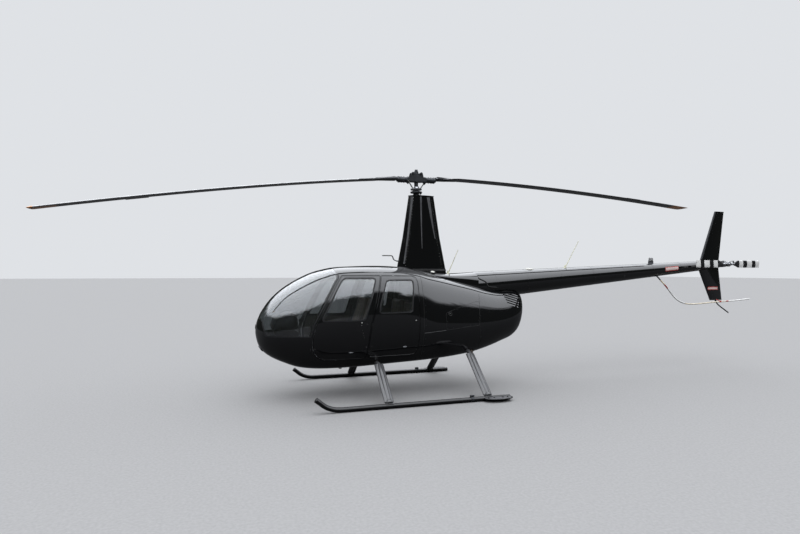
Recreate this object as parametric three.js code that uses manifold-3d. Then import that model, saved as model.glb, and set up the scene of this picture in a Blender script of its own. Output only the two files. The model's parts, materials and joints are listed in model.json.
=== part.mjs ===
// Light four-seat helicopter on skids, with a two-blade main rotor and a two-blade tail rotor.
// Millimetres. X runs forward, Y to the left, Z up from the ground.
// Lengths inside are measured from the mast axis, and the outer group shifts them to mid-length.
import * as THREE from 'three';
import { mergeVertices } from 'three/addons/utils/BufferGeometryUtils.js';
import Module from 'manifold-3d';

const wasm = await Module();
wasm.setup();

// Driving dimensions
const mainRadius = 5030;
const mainChord = 254;
const mainThick = 30;
const hubZ = 3138;
const teeterSlope = 0.0347;
const bladeDroop = 453;
const droopPower = 1.49;
const tailRadius = 737;
const tailChord = 130;
const tailHub = new THREE.Vector3(-5893, 225, 1874);
const cabinHalf = 642;
const wall = 28;
const glassThick = 5;
const glassInset = 8;
const gap = 0.3;
const doorGap = 11;
const firewallX = 105;
const sillZ = 870;
const floorZ = 540;
const floorThick = 20;
const trimGap = 50;
const skidHalfTrack = 1092;
const skidRadius = 31.5;
const legRadius = 30;
const originX = (-tailHub.x + tailRadius - mainRadius) / 2;

// Colours and finishes
const finish = (color, roughness, metalness, extra = {}) =>
  new THREE.MeshStandardMaterial({ color, roughness, metalness, ...extra });
const blackPaint = finish(0x0b0c0e, 0.12, 0.2);
const bladeGrey = finish(0x24262a, 0.45, 0.2);
const metal = finish(0x8d9196, 0.35, 0.9);
const darkMetal = finish(0x33363a, 0.5, 0.7);
const glass = finish(0xa9b4bb, 0.04, 0, { transparent: true, opacity: 0.35 });
const leather = finish(0x4a4038, 0.7, 0);
const carpet = finish(0x35353a, 0.95, 0);
const panelGrey = finish(0x2b2c2f, 0.75, 0.1);
const offWhite = finish(0xe6e3da, 0.4, 0);
const guardWhite = finish(0xe9e2d8, 0.4, 0.1);

const helicopter = new THREE.Group();
helicopter.position.x = originX;

// Solids and meshes
function toSolid(geometry) {
  const bare = geometry.clone();
  bare.deleteAttribute('normal');
  bare.deleteAttribute('uv');
  const merged = mergeVertices(bare, 1e-3);
  const vertProperties = new Float32Array(merged.attributes.position.array);
  const triVerts = new Uint32Array(merged.index.array);
  return new wasm.Manifold(new wasm.Mesh({ numProp: 3, vertProperties, triVerts }));
}

function toGeometry(solid) {
  const mesh = solid.getMesh();
  const geometry = new THREE.BufferGeometry();
  geometry.setAttribute('position', new THREE.BufferAttribute(mesh.vertProperties, 3));
  geometry.setIndex(new THREE.BufferAttribute(mesh.triVerts, 1));
  return geometry;
}

function addPiece(name, solid, material, parent = helicopter) {
  const mesh = new THREE.Mesh(toGeometry(solid), material);
  mesh.name = name;
  parent.add(mesh);
  return mesh;
}

const join = (solids) => solids.reduce((sum, solid) => sum.add(solid));

// Rings of points, all of one length, skinned and closed with a flat end each
function loft(rings) {
  const count = rings[0].length;
  const points = [];
  const faces = [];
  rings.forEach((ring) => ring.forEach((p) => points.push(p.x, p.y, p.z)));
  for (let r = 0; r < rings.length - 1; r++) {
    for (let i = 0; i < count; i++) {
      const a = r * count + i;
      const b = r * count + (i + 1) % count;
      faces.push(a, b, b + count, a, b + count, a + count);
    }
  }
  [0, rings.length - 1].forEach((end) => {
    const middle = new THREE.Vector3();
    rings[end].forEach((p) => middle.addScaledVector(p, 1 / count));
    const centre = points.length / 3;
    points.push(middle.x, middle.y, middle.z);
    for (let i = 0; i < count; i++) {
      const a = end * count + i;
      const b = end * count + (i + 1) % count;
      faces.push(...(end === 0 ? [centre, b, a] : [centre, a, b]));
    }
  });
  const geometry = new THREE.BufferGeometry();
  geometry.setAttribute('position', new THREE.BufferAttribute(new Float32Array(points), 3));
  geometry.setIndex(faces);
  if (signedVolume(points, faces) < 0) {
    for (let i = 0; i < faces.length; i += 3) {
      [faces[i + 1], faces[i + 2]] = [faces[i + 2], faces[i + 1]];
    }
    geometry.setIndex(faces);
  }
  return toSolid(geometry);
}

function signedVolume(points, faces) {
  const at = (i) => new THREE.Vector3(points[3 * i], points[3 * i + 1], points[3 * i + 2]);
  let sum = 0;
  for (let i = 0; i < faces.length; i += 3) {
    sum += at(faces[i]).dot(at(faces[i + 1]).cross(at(faces[i + 2])));
  }
  return sum;
}

// A side outline of [x, z] points, run from y0 to y1
function sidePrism(outline, y0, y1) {
  const shape = new THREE.Shape(outline.map(([x, z]) => new THREE.Vector2(x, z)));
  const geometry = new THREE.ExtrudeGeometry(shape, { depth: y1 - y0, bevelEnabled: false });
  geometry.rotateX(Math.PI / 2);
  geometry.translate(0, y1, 0);
  return toSolid(geometry);
}

function box(x0, x1, y0, y1, z0, z1) {
  const geometry = new THREE.BoxGeometry(x1 - x0, y1 - y0, z1 - z0);
  geometry.translate((x0 + x1) / 2, (y0 + y1) / 2, (z0 + z1) / 2);
  return toSolid(geometry);
}

function rod(from, to, radius, endRadius = radius, sides = 16) {
  const a = new THREE.Vector3(...from);
  const b = new THREE.Vector3(...to);
  const run = b.clone().sub(a);
  const geometry = new THREE.CylinderGeometry(endRadius, radius, run.length(), sides);
  geometry.applyQuaternion(new THREE.Quaternion().setFromUnitVectors(
    new THREE.Vector3(0, 1, 0), run.normalize()));
  const middle = a.add(b).multiplyScalar(0.5);
  geometry.translate(middle.x, middle.y, middle.z);
  return toSolid(geometry);
}

// A bar through points on a bent path, with flats at the given radius; side lies square to the path
function bar(points, radius, side, sides = 12) {
  const corner = radius / Math.cos(Math.PI / sides);
  const across = new THREE.Vector3(...side);
  const rings = points.map((point, k) => {
    const before = points[Math.max(0, k - 1)];
    const after = points[Math.min(points.length - 1, k + 1)];
    const run = point.clone().sub(before).normalize().add(after.clone().sub(point).normalize()).normalize();
    const u = across.clone().addScaledVector(run, -across.dot(run)).normalize();
    const v = run.clone().cross(u);
    const ring = [];
    for (let i = 0; i < sides; i++) {
      const angle = (2 * Math.PI * (i + 0.5)) / sides;
      const out = u.clone().multiplyScalar(Math.cos(angle)).addScaledVector(v, Math.sin(angle));
      ring.push(point.clone().addScaledVector(out, corner));
    }
    return ring;
  });
  return loft(rings);
}

// Points on a smooth curve through the given ones, the same number for each stretch between them
function smoothed(points, perStretch) {
  const places = points.map((p) => new THREE.Vector3(...p));
  const curve = new THREE.CatmullRomCurve3(places, false, 'centripetal');
  return curve.getPoints(perStretch * (points.length - 1));
}
const alongX = [1, 0, 0];
const alongY = [0, 1, 0];

// A ring or disc turned about an axis along X, from [radius, x] pairs
function turnedAlongX(profile, y, z, sides = 32) {
  const geometry = new THREE.LatheGeometry(profile.map(([r, x]) => new THREE.Vector2(r, x)), sides);
  geometry.rotateZ(-Math.PI / 2);
  geometry.translate(0, y, z);
  return toSolid(geometry);
}

const mirrored = (solid) => solid.mirror([0, 1, 0]);

// Body sections: keel and crown heights, and the bilge, waist and eave points of the left half
const bodyColumns = ['x', 'keel', 'bilgeY', 'bilgeZ', 'waistY', 'waistZ', 'eaveY', 'eaveZ', 'crown'];
const bodySections = [
  [2333, 860, 40, 872, 70, 925, 50, 975, 995],
  [2300, 735, 110, 765, 165, 900, 115, 1045, 1105],
  [2235, 640, 185, 685, 275, 880, 190, 1130, 1225],
  [2130, 565, 250, 615, 378, 875, 270, 1245, 1365],
  [1980, 497, 310, 550, 470, 870, 340, 1370, 1500],
  [1790, 433, 360, 487, 545, 870, 400, 1475, 1620],
  [1570, 406, 400, 460, 592, 875, 450, 1575, 1722],
  [1300, 400, 430, 456, 622, 880, 487, 1660, 1790],
  [980, 408, 445, 464, cabinHalf - 9, 885, 503, 1685, 1812],
  [600, 425, 445, 480, cabinHalf - 9, 890, 505, 1685, 1820],
  [300, 438, 440, 492, 631, 895, 498, 1672, 1805],
  [105, 446, 436, 500, 625, 900, 470, 1655, 1772],
  [-90, 456, 430, 510, 624, 905, 435, 1615, 1710],
  [-400, 478, 410, 532, 592, 915, 400, 1550, 1640],
  [-760, 518, 375, 575, 535, 930, 355, 1475, 1560],
  [-1060, 582, 330, 640, 478, 955, 320, 1405, 1490],
  [-1300, 655, 290, 712, 425, 990, 285, 1375, 1450],
  [-1480, 715, 250, 770, 375, 1030, 262, 1375, 1450],
  [-1610, 815, 205, 862, 310, 1090, 225, 1370, 1445],
  [-1700, 1010, 130, 1035, 195, 1170, 140, 1345, 1405],
];
const stepsPerSection = 32;

function bodyRing(section, inset) {
  const s = Object.fromEntries(bodyColumns.map((name, i) => [name, section[i]]));
  const half = [
    [s.bilgeY - 0.7 * inset, s.bilgeZ + 0.75 * inset],
    [s.waistY - inset, s.waistZ],
    [s.eaveY - 0.75 * inset, s.eaveZ - 0.65 * inset],
  ];
  const left = half.map(([y, z]) => new THREE.Vector3(s.x, y, z));
  const right = half.map(([y, z]) => new THREE.Vector3(s.x, -y, z)).reverse();
  const keel = new THREE.Vector3(s.x, 0, s.keel + inset);
  const crown = new THREE.Vector3(s.x, 0, s.crown - inset);
  const curve = new THREE.CatmullRomCurve3([keel, ...left, crown, ...right], true, 'centripetal');
  return curve.getPoints(stepsPerSection).slice(0, stepsPerSection);
}

function body(inset) {
  const rings = bodySections.map((section) => bodyRing(section, inset));
  if (inset !== 0) {
    const pull = (ring, dx) => ring.forEach((p) => { p.x += dx; });
    pull(rings[0], -inset);
    pull(rings[rings.length - 1], inset);
  }
  return loft(rings);
}

const bodyOuter = body(0);
const bodyOuterGap = body(-gap);
const bodyInner = body(wall);
const bodyInnerGap = body(wall + gap);
const shell = bodyOuter.subtract(bodyInner);
const glassShell = body(glassInset).subtract(body(glassInset + glassThick));

// Openings of the cabin, as side outlines of [x, z] points
const far = 900;
const postLine = [[1277, 1655], [1343, 1560], [1410, 1440], [1516, 1230], [1618, 1035], [1662, 870]];
const alongPost = (dx) => postLine.map(([x, z]) => [x + dx, z]);
const windshieldOutline = [
  ...alongPost(30),
  [1692, sillZ + 12], [2215, sillZ + 12], [2240, 960], [2262, 1085], [2420, 1085],
  [2420, 2000], [1307, 2000],
];
const frontDoorOutline = [
  ...alongPost(-24).slice(0, 5),
  [1632, 870], [1638, 760], [1610, 645], [1530, 576], [1440, 556],
  [960, 556], [925, 574], [915, 620], [880, 950], [842, 1120], [760, 1450], [712, 1680], [1240, 1680],
];
const rearDoorOutline = [
  [692, 1678], [740, 1450], [822, 1120], [860, 950], [895, 620], [880, 586], [840, 572],
  [250, 578], [200, 600], [178, 660], [170, 900], [168, 1600], [190, 1655], [240, 1675],
];
const frontWindowOutline = [
  [1222, 1650], [1283, 1562], [1350, 1440], [1455, 1230], [1535, 1078],
  [945, 1078], [902, 1219], [819, 1488], [770, 1650],
];
const rearWindowOutline = [
  [632, 1622], [672, 1500], [742, 1250], [752, 1190], [720, 1172],
  [300, 1178], [272, 1205], [232, 1590], [255, 1622],
];

// Grows or shrinks an outline by moving each corner along the mean of its edge normals
function offsetOutline(outline, distance) {
  const points = outline.map(([x, z]) => new THREE.Vector2(x, z));
  const turn = THREE.ShapeUtils.area(points) > 0 ? 1 : -1;
  return points.map((point, i) => {
    const before = points[(i + points.length - 1) % points.length];
    const after = points[(i + 1) % points.length];
    const d1 = point.clone().sub(before).normalize();
    const d2 = after.clone().sub(point).normalize();
    const n1 = new THREE.Vector2(d1.y, -d1.x).multiplyScalar(turn);
    const n2 = new THREE.Vector2(d2.y, -d2.x).multiplyScalar(turn);
    const mean = n1.add(n2).normalize();
    const reach = distance / Math.max(0.5, mean.dot(n2));
    return [point.x + mean.x * reach, point.y + mean.y * reach];
  });
}

// Doors, left side first and the right side as its mirror image
const doorTable = [
  ['front', frontDoorOutline, frontWindowOutline],
  ['rear', rearDoorOutline, rearWindowOutline],
];
const doorHoles = doorTable.map(([, outline]) => sidePrism(offsetOutline(outline, doorGap), 100, far));
const bothDoorHoles = join(doorHoles.flatMap((hole) => [hole, mirrored(hole)]));
const centrePostHalf = 27;
const windshieldHole = sidePrism(windshieldOutline, centrePostHalf, far);
const windshieldPane = sidePrism(offsetOutline(windshieldOutline, -0.4), centrePostHalf + 0.4, far);
addPiece('windshield_left', glassShell.intersect(windshieldPane), glass);
addPiece('windshield_right', mirrored(glassShell.intersect(windshieldPane)), glass);

const handle = { long: 62, tall: 26, proud: 8, steps: 12 };
const handleAt = { front: [1132, 650], rear: [372, 700] };

// An oval pad that stands proud of the skin, seen from the side
function skinPad([x, z], spec) {
  const oval = Array.from({ length: spec.steps }, (_, i) => {
    const angle = (2 * Math.PI * i) / spec.steps;
    return [x + (spec.long / 2) * Math.cos(angle), z + (spec.tall / 2) * Math.sin(angle)];
  });
  return body(-spec.proud).intersect(sidePrism(oval, 200, far)).subtract(body(wall / 4));
}

doorTable.forEach(([place, outline, windowOutline]) => {
  const panel = shell
    .intersect(sidePrism(outline, 200, far))
    .subtract(sidePrism(windowOutline, 200, far))
    .add(skinPad(handleAt[place], handle));
  const window = glassShell.intersect(sidePrism(offsetOutline(windowOutline, -0.4), 200, far));
  addPiece(`${place}_door_left`, panel, blackPaint);
  addPiece(`${place}_door_right`, mirrored(panel), blackPaint);
  addPiece(`${place}_window_left`, window, glass);
  addPiece(`${place}_window_right`, mirrored(window), glass);
});

// Landing gear: two skid tubes, and two cross tubes with faired legs
const skidAft = -960;
const toePath = [[1290, 31.5], [1330, 31.5], [1450, 40], [1560, 80], [1640, 140], [1682, 172]];
const paw = { x: -765, length: 420, width: 200, thick: 14, z: 42, outboard: 60 };
const spur = { x: -405, height: 92, length: 60, thick: 24 };

function skidTube(side, extra) {
  const y = side * skidHalfTrack;
  const toe = smoothed(toePath.map(([x, z]) => [x, y, z]), 2);
  return bar([new THREE.Vector3(skidAft, y, skidRadius), ...toe], skidRadius + extra, alongY);
}

function pawPlate(side, extra) {
  const radius = paw.width / 2 + extra;
  const geometry = new THREE.CylinderGeometry(radius, radius, paw.thick + 2 * extra, 24);
  geometry.rotateX(Math.PI / 2);
  geometry.scale(paw.length / paw.width, 1, 1);
  geometry.translate(paw.x, side * (skidHalfTrack + paw.outboard), paw.z);
  return toSolid(geometry);
}

function skid(side, extra = 0) {
  const y = side * skidHalfTrack;
  const half = spur.thick / 2 + extra;
  const bracket = box(
    spur.x - spur.length / 2 - extra, spur.x + spur.length / 2 + extra,
    y - half, y + half, skidRadius, spur.height + extra);
  return join([skidTube(side, extra), pawPlate(side, extra), bracket]);
}

const crossTubes = [
  { name: 'front_cross_tube', x: 746, kneeY: 560, kneeZ: 492, levelZ: 478 },
  { name: 'rear_cross_tube', x: -645, kneeY: 490, kneeZ: 566, levelZ: 575 },
];
const fairingChord = 128;
const fairingThick = 50;

function legFairing(spec, side) {
  const rings = [[1072, 72], [spec.kneeY + 25, spec.kneeZ - 20]].map(([y, z]) => {
    const ring = [];
    for (let i = 0; i < 16; i++) {
      const angle = (2 * Math.PI * i) / 16;
      const dx = (fairingChord / 2) * Math.cos(angle);
      const taper = 1 - 0.9 * Math.max(0, -dx / fairingChord);
      const spread = (fairingThick / 2) * Math.sin(angle) * taper;
      ring.push(new THREE.Vector3(spec.x + dx, side * (y + spread * 0.75), z + spread * 0.66));
    }
    return ring;
  });
  return loft(rings);
}

function crossTube(spec, radius = legRadius) {
  const { kneeY, kneeZ, levelZ } = spec;
  const arc = [[1088, 62], [kneeY + 40, kneeZ - 30], [kneeY - 50, levelZ], [0, levelZ]];
  const points = [
    ...arc.map(([y, z]) => [spec.x, y, z]),
    ...arc.slice(0, 3).reverse().map(([y, z]) => [spec.x, -y, z]),
  ];
  return bar(smoothed(points, 3), radius, alongX);
}

addPiece('skid_left', skid(1), blackPaint);
addPiece('skid_right', skid(-1), blackPaint);
const skidsWithGap = skid(1, gap).add(skid(-1, gap));
const crossSolids = crossTubes.map((spec) =>
  join([crossTube(spec), legFairing(spec, 1), legFairing(spec, -1)]).subtract(skidsWithGap));
const crossHoles = join(crossTubes.map((spec) => crossTube(spec, legRadius + 1)));
crossTubes.forEach((spec, i) => {
  const fairingsOff = bodyOuterGap.intersect(join([legFairing(spec, 1), legFairing(spec, -1)]));
  addPiece(spec.name, crossSolids[i].subtract(fairingsOff.subtract(crossTube(spec))), blackPaint);
});

// Tail cone, from the body to the tail gearbox
const coneSkin = 8;
const tailCone = {
  frontX: -930, frontZ: 1508, frontRadius: 222, rearX: -5420, rearZ: 1836, rearRadius: 86,
};

function tailConeSolid(extra = 0, ends = [0, 1]) {
  const rings = ends.map((t) => {
    const radius = THREE.MathUtils.lerp(tailCone.frontRadius, tailCone.rearRadius, t) + extra;
    const x = THREE.MathUtils.lerp(tailCone.frontX, tailCone.rearX, t);
    const z = THREE.MathUtils.lerp(tailCone.frontZ, tailCone.rearZ, t);
    const ring = [];
    for (let i = 0; i < 28; i++) {
      const angle = (2 * Math.PI * i) / 28;
      ring.push(new THREE.Vector3(x, radius * Math.cos(angle), z + radius * Math.sin(angle)));
    }
    return ring;
  });
  return loft(rings);
}
const cone = tailConeSolid();
const coneGap = tailConeSolid(gap);

// Spine fairing behind the mast: x, half width, side top height, crown height, and foot height
const spineSections = [
  [420, 180, 1700, 1790, 1600],
  [250, 250, 1735, 1806, 1600],
  [60, 262, 1705, 1775, 1560],
  [-200, 252, 1670, 1735, 1500],
  [-480, 240, 1640, 1710, 1420],
  [-760, 234, 1610, 1718, 1380],
  [-929.5, 226, 1580, 1728, 1330],
];

function spineSolid(extra = 0) {
  const rings = spineSections.map(([x, half, sideZ, crown, foot]) => {
    const ring = [];
    const steps = 8;
    for (let i = 0; i <= steps; i++) {
      const angle = (Math.PI * i) / steps;
      const y = (half + extra) * Math.cos(angle);
      const z = sideZ + (crown + extra - sideZ) * Math.sin(angle);
      ring.push(new THREE.Vector3(x, y, z));
    }
    ring.push(new THREE.Vector3(x, -half - extra, foot), new THREE.Vector3(x, half + extra, foot));
    return ring;
  });
  return loft(rings);
}

const coneHollow = tailConeSolid(-coneSkin, [-0.1, 0.995]);
const antennaPuck = rod([-1942, 0, 1750], [-1942, 0, 1792], 62, 52, 20);
addPiece('tail_cone', cone.add(antennaPuck).subtract(bodyOuterGap).subtract(coneHollow), blackPaint);
const fuelCap = { foot: [-187, 193, 1693], top: [-187, 207, 1731], radius: 44 };
const cap = rod(fuelCap.foot, fuelCap.top, fuelCap.radius, fuelCap.radius, 20);
const spine = join([spineSolid(), cap, mirrored(cap)]).subtract(bodyOuterGap);
addPiece('spine_fairing', spine, blackPaint);

// Mast fairing: height, front and rear of the foil, and its half width
const mastTop = 2872;
const mastSections = [
  [1640, 330, -470, 150],
  [2250, 212, -350, 128],
  [mastTop, 118, -256, 106],
];
const pitotPath = [[225, 0, 1893], [300, 0, 1893], [352, 0, 1915], [379, 0, 1967], [520, 0, 1972]];
const pitotRadius = 8;

function mastFairing() {
  const rings = mastSections.map(([z, front, rear, half]) => {
    const ring = [];
    const steps = 20;
    for (let i = 0; i < steps; i++) {
      const angle = (2 * Math.PI * i) / steps;
      const along = (1 - Math.cos(angle)) / 2;
      const x = front + (rear - front) * along;
      const blunt = Math.sqrt(along) * (1 - 0.72 * along) * 1.9;
      const y = half * Math.min(1, blunt) * Math.sign(Math.sin(angle) || 1);
      ring.push(new THREE.Vector3(x, i === 0 ? 0 : y, z));
    }
    return ring;
  });
  return loft(rings);
}
const pocketFloor = 2790;
const pocket = rod([0, 0, pocketFloor], [0, 0, mastTop + 28], 62, 62, 24);
const pitot = bar(smoothed(pitotPath, 3), pitotRadius, alongY, 8);
const mast = mastFairing().add(pitot).subtract(bodyOuterGap).subtract(spineSolid(gap)).subtract(pocket);
addPiece('mast_fairing', mast, blackPaint);

// Post behind the seam between the front and rear door, inboard of both
const postInset = [wall + 7, wall + 38];
const postSeam = [[925, 430], [905, 620], [870, 950], [832, 1120], [750, 1450], [702, 1700], [690, 1800]];
const postHalf = 26;

function doorPost(extra = 0) {
  const half = postHalf + extra;
  const strip = sidePrism([
    ...postSeam.map(([x, z]) => [x - half, z]),
    ...postSeam.map(([x, z]) => [x + half, z]).reverse(),
  ], 200, far);
  const behindDoors = body(postInset[0] - extra).intersect(strip);
  const ends = body(wall - 6).intersect(strip)
    .subtract(box(0, 2000, 0, far, 556 - doorGap - 14, 1680 + doorGap + 14));
  const left = behindDoors.add(ends).subtract(body(postInset[1] + extra));
  return left.add(mirrored(left));
}
const doorPosts = doorPost();
const doorPostsGap = doorPost(gap);

// Cabin shell, split at sill height, and the engine cowl behind the firewall
const longest = 3000;
const belowSill = box(firewallX, longest, -far, far, 0, sillZ - gap / 2);
const aboveSill = box(firewallX, longest, -far, far, sillZ + gap / 2, 2400);
const behindFirewall = box(-longest, firewallX - gap, -far, far, 0, 2400);
const windshieldHoles = windshieldHole.add(mirrored(windshieldHole));
const openedShell = shell.subtract(bothDoorHoles).add(doorPosts);
const lamp = { y: 48, from: [2244, 692], to: [2264, 678], radius: 42 };
const lamps = join([1, -1].map((sign) => rod(
  [lamp.from[0], sign * lamp.y, lamp.from[1]], [lamp.to[0], sign * lamp.y, lamp.to[1]], lamp.radius)));
const lowerHull = openedShell.intersect(belowSill).subtract(crossHoles).add(lamps);
addPiece('lower_hull', lowerHull, blackPaint);
addPiece('cabin_frame', openedShell.intersect(aboveSill).subtract(windshieldHoles), blackPaint);

// Engine cowl with a round fan opening at the rear
const fanAxisZ = 1075;
const fanOpening = 262;
const fanHoleProfile = [[0, -2000], [fanOpening, -2000], [fanOpening, -1500], [0, -1500]];
const fanHole = turnedAlongX(fanHoleProfile, 0, fanAxisZ, 40);
const exhaustPath = [[-712, 330, 740], [-722, 340, 650], [-734, 350, 560], [-750, 355, 462]];
const exhaustRadius = 32;

function exhaustTube(extra) {
  const [[x, y, z], ...rest] = exhaustPath;
  return bar(smoothed([[x, y, z + extra], ...rest], 3), exhaustRadius + extra, alongY, 16);
}

// Louvres in each side of the cowl: an opening with slanted slats across it
const louvreOutline = [[-1308, 1385], [-1357, 1238], [-1596, 1165], [-1598, 1392]];
const slat = { count: 6, lowest: 1196, pitch: 36, thick: 9, rise: 60, inner: 100, outer: 450 };
const louvreHole = sidePrism(louvreOutline, slat.inner, far);
const slats = join(Array.from({ length: slat.count }, (_, i) => {
  const z = slat.lowest + i * slat.pitch;
  return loft([-1650, -1250].map((x) => [
    new THREE.Vector3(x, slat.inner, z + slat.rise),
    new THREE.Vector3(x, slat.inner, z + slat.rise + slat.thick),
    new THREE.Vector3(x, slat.outer, z - slat.rise + slat.thick),
    new THREE.Vector3(x, slat.outer, z - slat.rise),
  ]));
}));
const louvres = slats.intersect(sidePrism(offsetOutline(louvreOutline, 5), slat.inner, far));
const cowlSkin = shell.intersect(behindFirewall)
  .subtract(louvreHole.add(mirrored(louvreHole)))
  .add(shell.intersect(louvres.add(mirrored(louvres))));
const cowl = cowlSkin
  .subtract(crossHoles).subtract(fanHole).subtract(exhaustTube(8)).subtract(coneGap);
addPiece('engine_cowl', cowl, blackPaint);

// Inside the cabin
const firewall = bodyInnerGap.intersect(box(firewallX - 30, firewallX - gap, -far, far, 0, 2400));
addPiece('firewall', firewall, panelGrey);
const seatSpan = [58, 545];
const seatBaseZ = 742;
const seatBoxes = [
  box(840, 1290, -seatSpan[1], seatSpan[1], floorZ - 8, seatBaseZ),
  box(firewallX + 6, 640, -seatSpan[1], seatSpan[1], floorZ - 8, seatBaseZ),
];
const floorPlate = box(firewallX + gap, 2060, -far, far, floorZ - floorThick, floorZ)
  .intersect(bodyInnerGap);
const heelPad = box(1400, 1640, 120, 400, floorZ - 4, floorZ + 4);
const pedal = { x: 1890, z: 662, half: 32, rise: 44, thick: 14 };
const pedalAt = [196, 312];
const pedalPads = pedalAt.map((y) => box(
  pedal.x - pedal.thick, pedal.x, y - pedal.half, y + pedal.half,
  pedal.z - pedal.rise, pedal.z + pedal.rise));
const pedalBar = rod([pedal.x, pedalAt[0], pedal.z], [pedal.x, pedalAt[1], pedal.z], 9, 9, 8);
const pedalPost = rod([pedal.x + 12, pedalAt[0], floorZ - 4], [pedal.x, pedalAt[0], pedal.z], 9, 9, 8);
const footControls = join([heelPad, ...pedalPads, pedalBar, pedalPost]);
const lever = rod([900, -25, seatBaseZ - 8], [1290, -25, 905], 14, 14, 10);
const cabinFloor = join([
  floorPlate, footControls, mirrored(footControls), lever,
  join(seatBoxes).intersect(body(wall + trimGap)),
]);
addPiece('cabin_floor', cabinFloor.subtract(doorPostsGap), carpet);

const seatFoot = seatBaseZ + gap;
const frontSeatOutline = [
  [1300, seatFoot], [1310, 800], [1280, 858], [900, 842], [752, 1365], [700, 1385], [655, 1350],
  [800, seatFoot],
];
const rearSeatOutline = [
  [650, seatFoot], [660, 805], [630, 862], [275, 845], [215, 1330], [175, 1350], [112, 1320],
  [112, seatFoot],
];
const seats = [['front', frontSeatOutline], ['rear', rearSeatOutline]];
seats.forEach(([place, outline]) => {
  const seat = sidePrism(outline, seatSpan[0], seatSpan[1]).intersect(body(wall + trimGap));
  addPiece(`${place}_seat_left`, seat, leather);
  addPiece(`${place}_seat_right`, mirrored(seat), leather);
});

const consoleOutline = [
  [1745, floorZ + gap], [1990, floorZ + gap], [2030, 760], [2130, 940], [2090, 1095], [1880, 1165],
  [1800, 1130], [1760, 900],
];
const podOutline = [[2130, 940], [2090, 1095], [1880, 1165], [1800, 1130], [1775, 960], [1850, 930]];
const consoleSolid = join([sidePrism(consoleOutline, -130, 130), sidePrism(podOutline, -255, 255)]);
addPiece('instrument_console', consoleSolid.intersect(body(wall + 20)), panelGrey);

const stick = join([
  rod([1420, 0, floorZ + gap], [1420, 0, floorZ + 60], 24),
  rod([1420, 0, floorZ + 40], [1395, 0, 1010], 16),
  rod([1395, -290, 1012], [1395, 290, 1012], 12),
  rod([1395, 284, 1020], [1410, 284, 900], 16),
  rod([1395, -284, 1020], [1410, -284, 900], 16),
]);
addPiece('cyclic_stick', stick, darkMetal);

// Engine, one plain block, with its exhaust and its cooling fan
const engineBox = box(-960, -130, -430, 430, 400, 1000);
const engine = bodyInnerGap.intersect(engineBox)
  .subtract(join(crossTubes.map((spec) => crossTube(spec, legRadius + 2))))
  .subtract(exhaustTube(gap));
addPiece('engine_block', engine, darkMetal);
addPiece('exhaust_pipe', exhaustTube(0), metal);

const shroudProfile = [[244, -1580], [300, -1580], [300, -1420], [244, -1420], [244, -1580]];
const shroudRing = turnedAlongX(shroudProfile, 0, fanAxisZ);
addPiece('fan_shroud', shroudRing.intersect(bodyInnerGap), darkMetal);
const fan = new THREE.Group();
fan.position.set(-1500, 0, fanAxisZ);
helicopter.add(fan);
const fanBlades = [];
for (let i = 0; i < 12; i++) {
  const geometry = new THREE.BoxGeometry(60, 9, 130);
  geometry.translate(0, 0, 165);
  geometry.rotateX((2 * Math.PI * i) / 12);
  fanBlades.push(toSolid(geometry));
}
const fanDisc = turnedAlongX([[0, -20], [110, -20], [232, 34], [232, 44], [0, 44]], 0, 0);
addPiece('cooling_fan', join([fanDisc, rod([40, 0, 0], [530, 0, 0], 30), ...fanBlades]), metal, fan);

// Tail surfaces and tail gearbox; x of leading edge, x of trailing edge and z of each end
function foilRing(lead, trail, thick, place) {
  const ring = [];
  const steps = 12;
  for (let i = 0; i < steps; i++) {
    const angle = (2 * Math.PI * i) / steps;
    const along = (1 - Math.cos(angle)) / 2;
    const bulge = 2.6 * Math.sqrt(along) * (1 - along);
    const side = Math.sin(angle) >= 0 ? 1 : -1;
    ring.push(place(lead + (trail - lead) * along, i === 0 ? 0 : (side * bulge * thick) / 2));
  }
  return ring;
}
const upright = (z) => (x, t) => new THREE.Vector3(x, t, z);
const lengthwise = (y) => (x, t) => new THREE.Vector3(x, y, 1850 + t);

function gearbox(extra) {
  return join([
    rod([tailCone.rearX - gap + extra, 0, 1845], [-5600 - extra, 0, 1845], 84 + extra, 70 + extra, 20),
    rod([-5590 + extra, 0, 1850], [-6010 - extra, 0, tailHub.z], 62 + extra, 52 + extra, 20),
    rod([tailHub.x, 0, tailHub.z], [tailHub.x, 150 + extra, tailHub.z], 48 + extra, 40 + extra, 20),
  ]);
}
const shaftBore = rod([tailHub.x, 90, tailHub.z], [tailHub.x, 160, tailHub.z], 26, 26, 16);
addPiece('tail_gearbox', gearbox(0).subtract(shaftBore), darkMetal);
const boomAndGearbox = tailConeSolid(gap).add(gearbox(gap));
const upperFin = loft([
  foilRing(-5440, -5905, 46, upright(1850)),
  foilRing(-5822, -6042, 26, upright(2842)),
]);
const lowerFin = loft([
  foilRing(-5700, -5986, 26, upright(1214)),
  foilRing(-5405, -5905, 46, upright(1850)),
]);
addPiece('upper_fin', upperFin.subtract(boomAndGearbox), blackPaint);
addPiece('lower_fin', lowerFin.subtract(boomAndGearbox), blackPaint);
const stabilizer = loft([
  foilRing(-5440, -5745, 40, lengthwise(-60)),
  foilRing(-5470, -5735, 34, lengthwise(-880)),
]);
addPiece('horizontal_stabilizer', stabilizer.subtract(boomAndGearbox), blackPaint);

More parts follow.
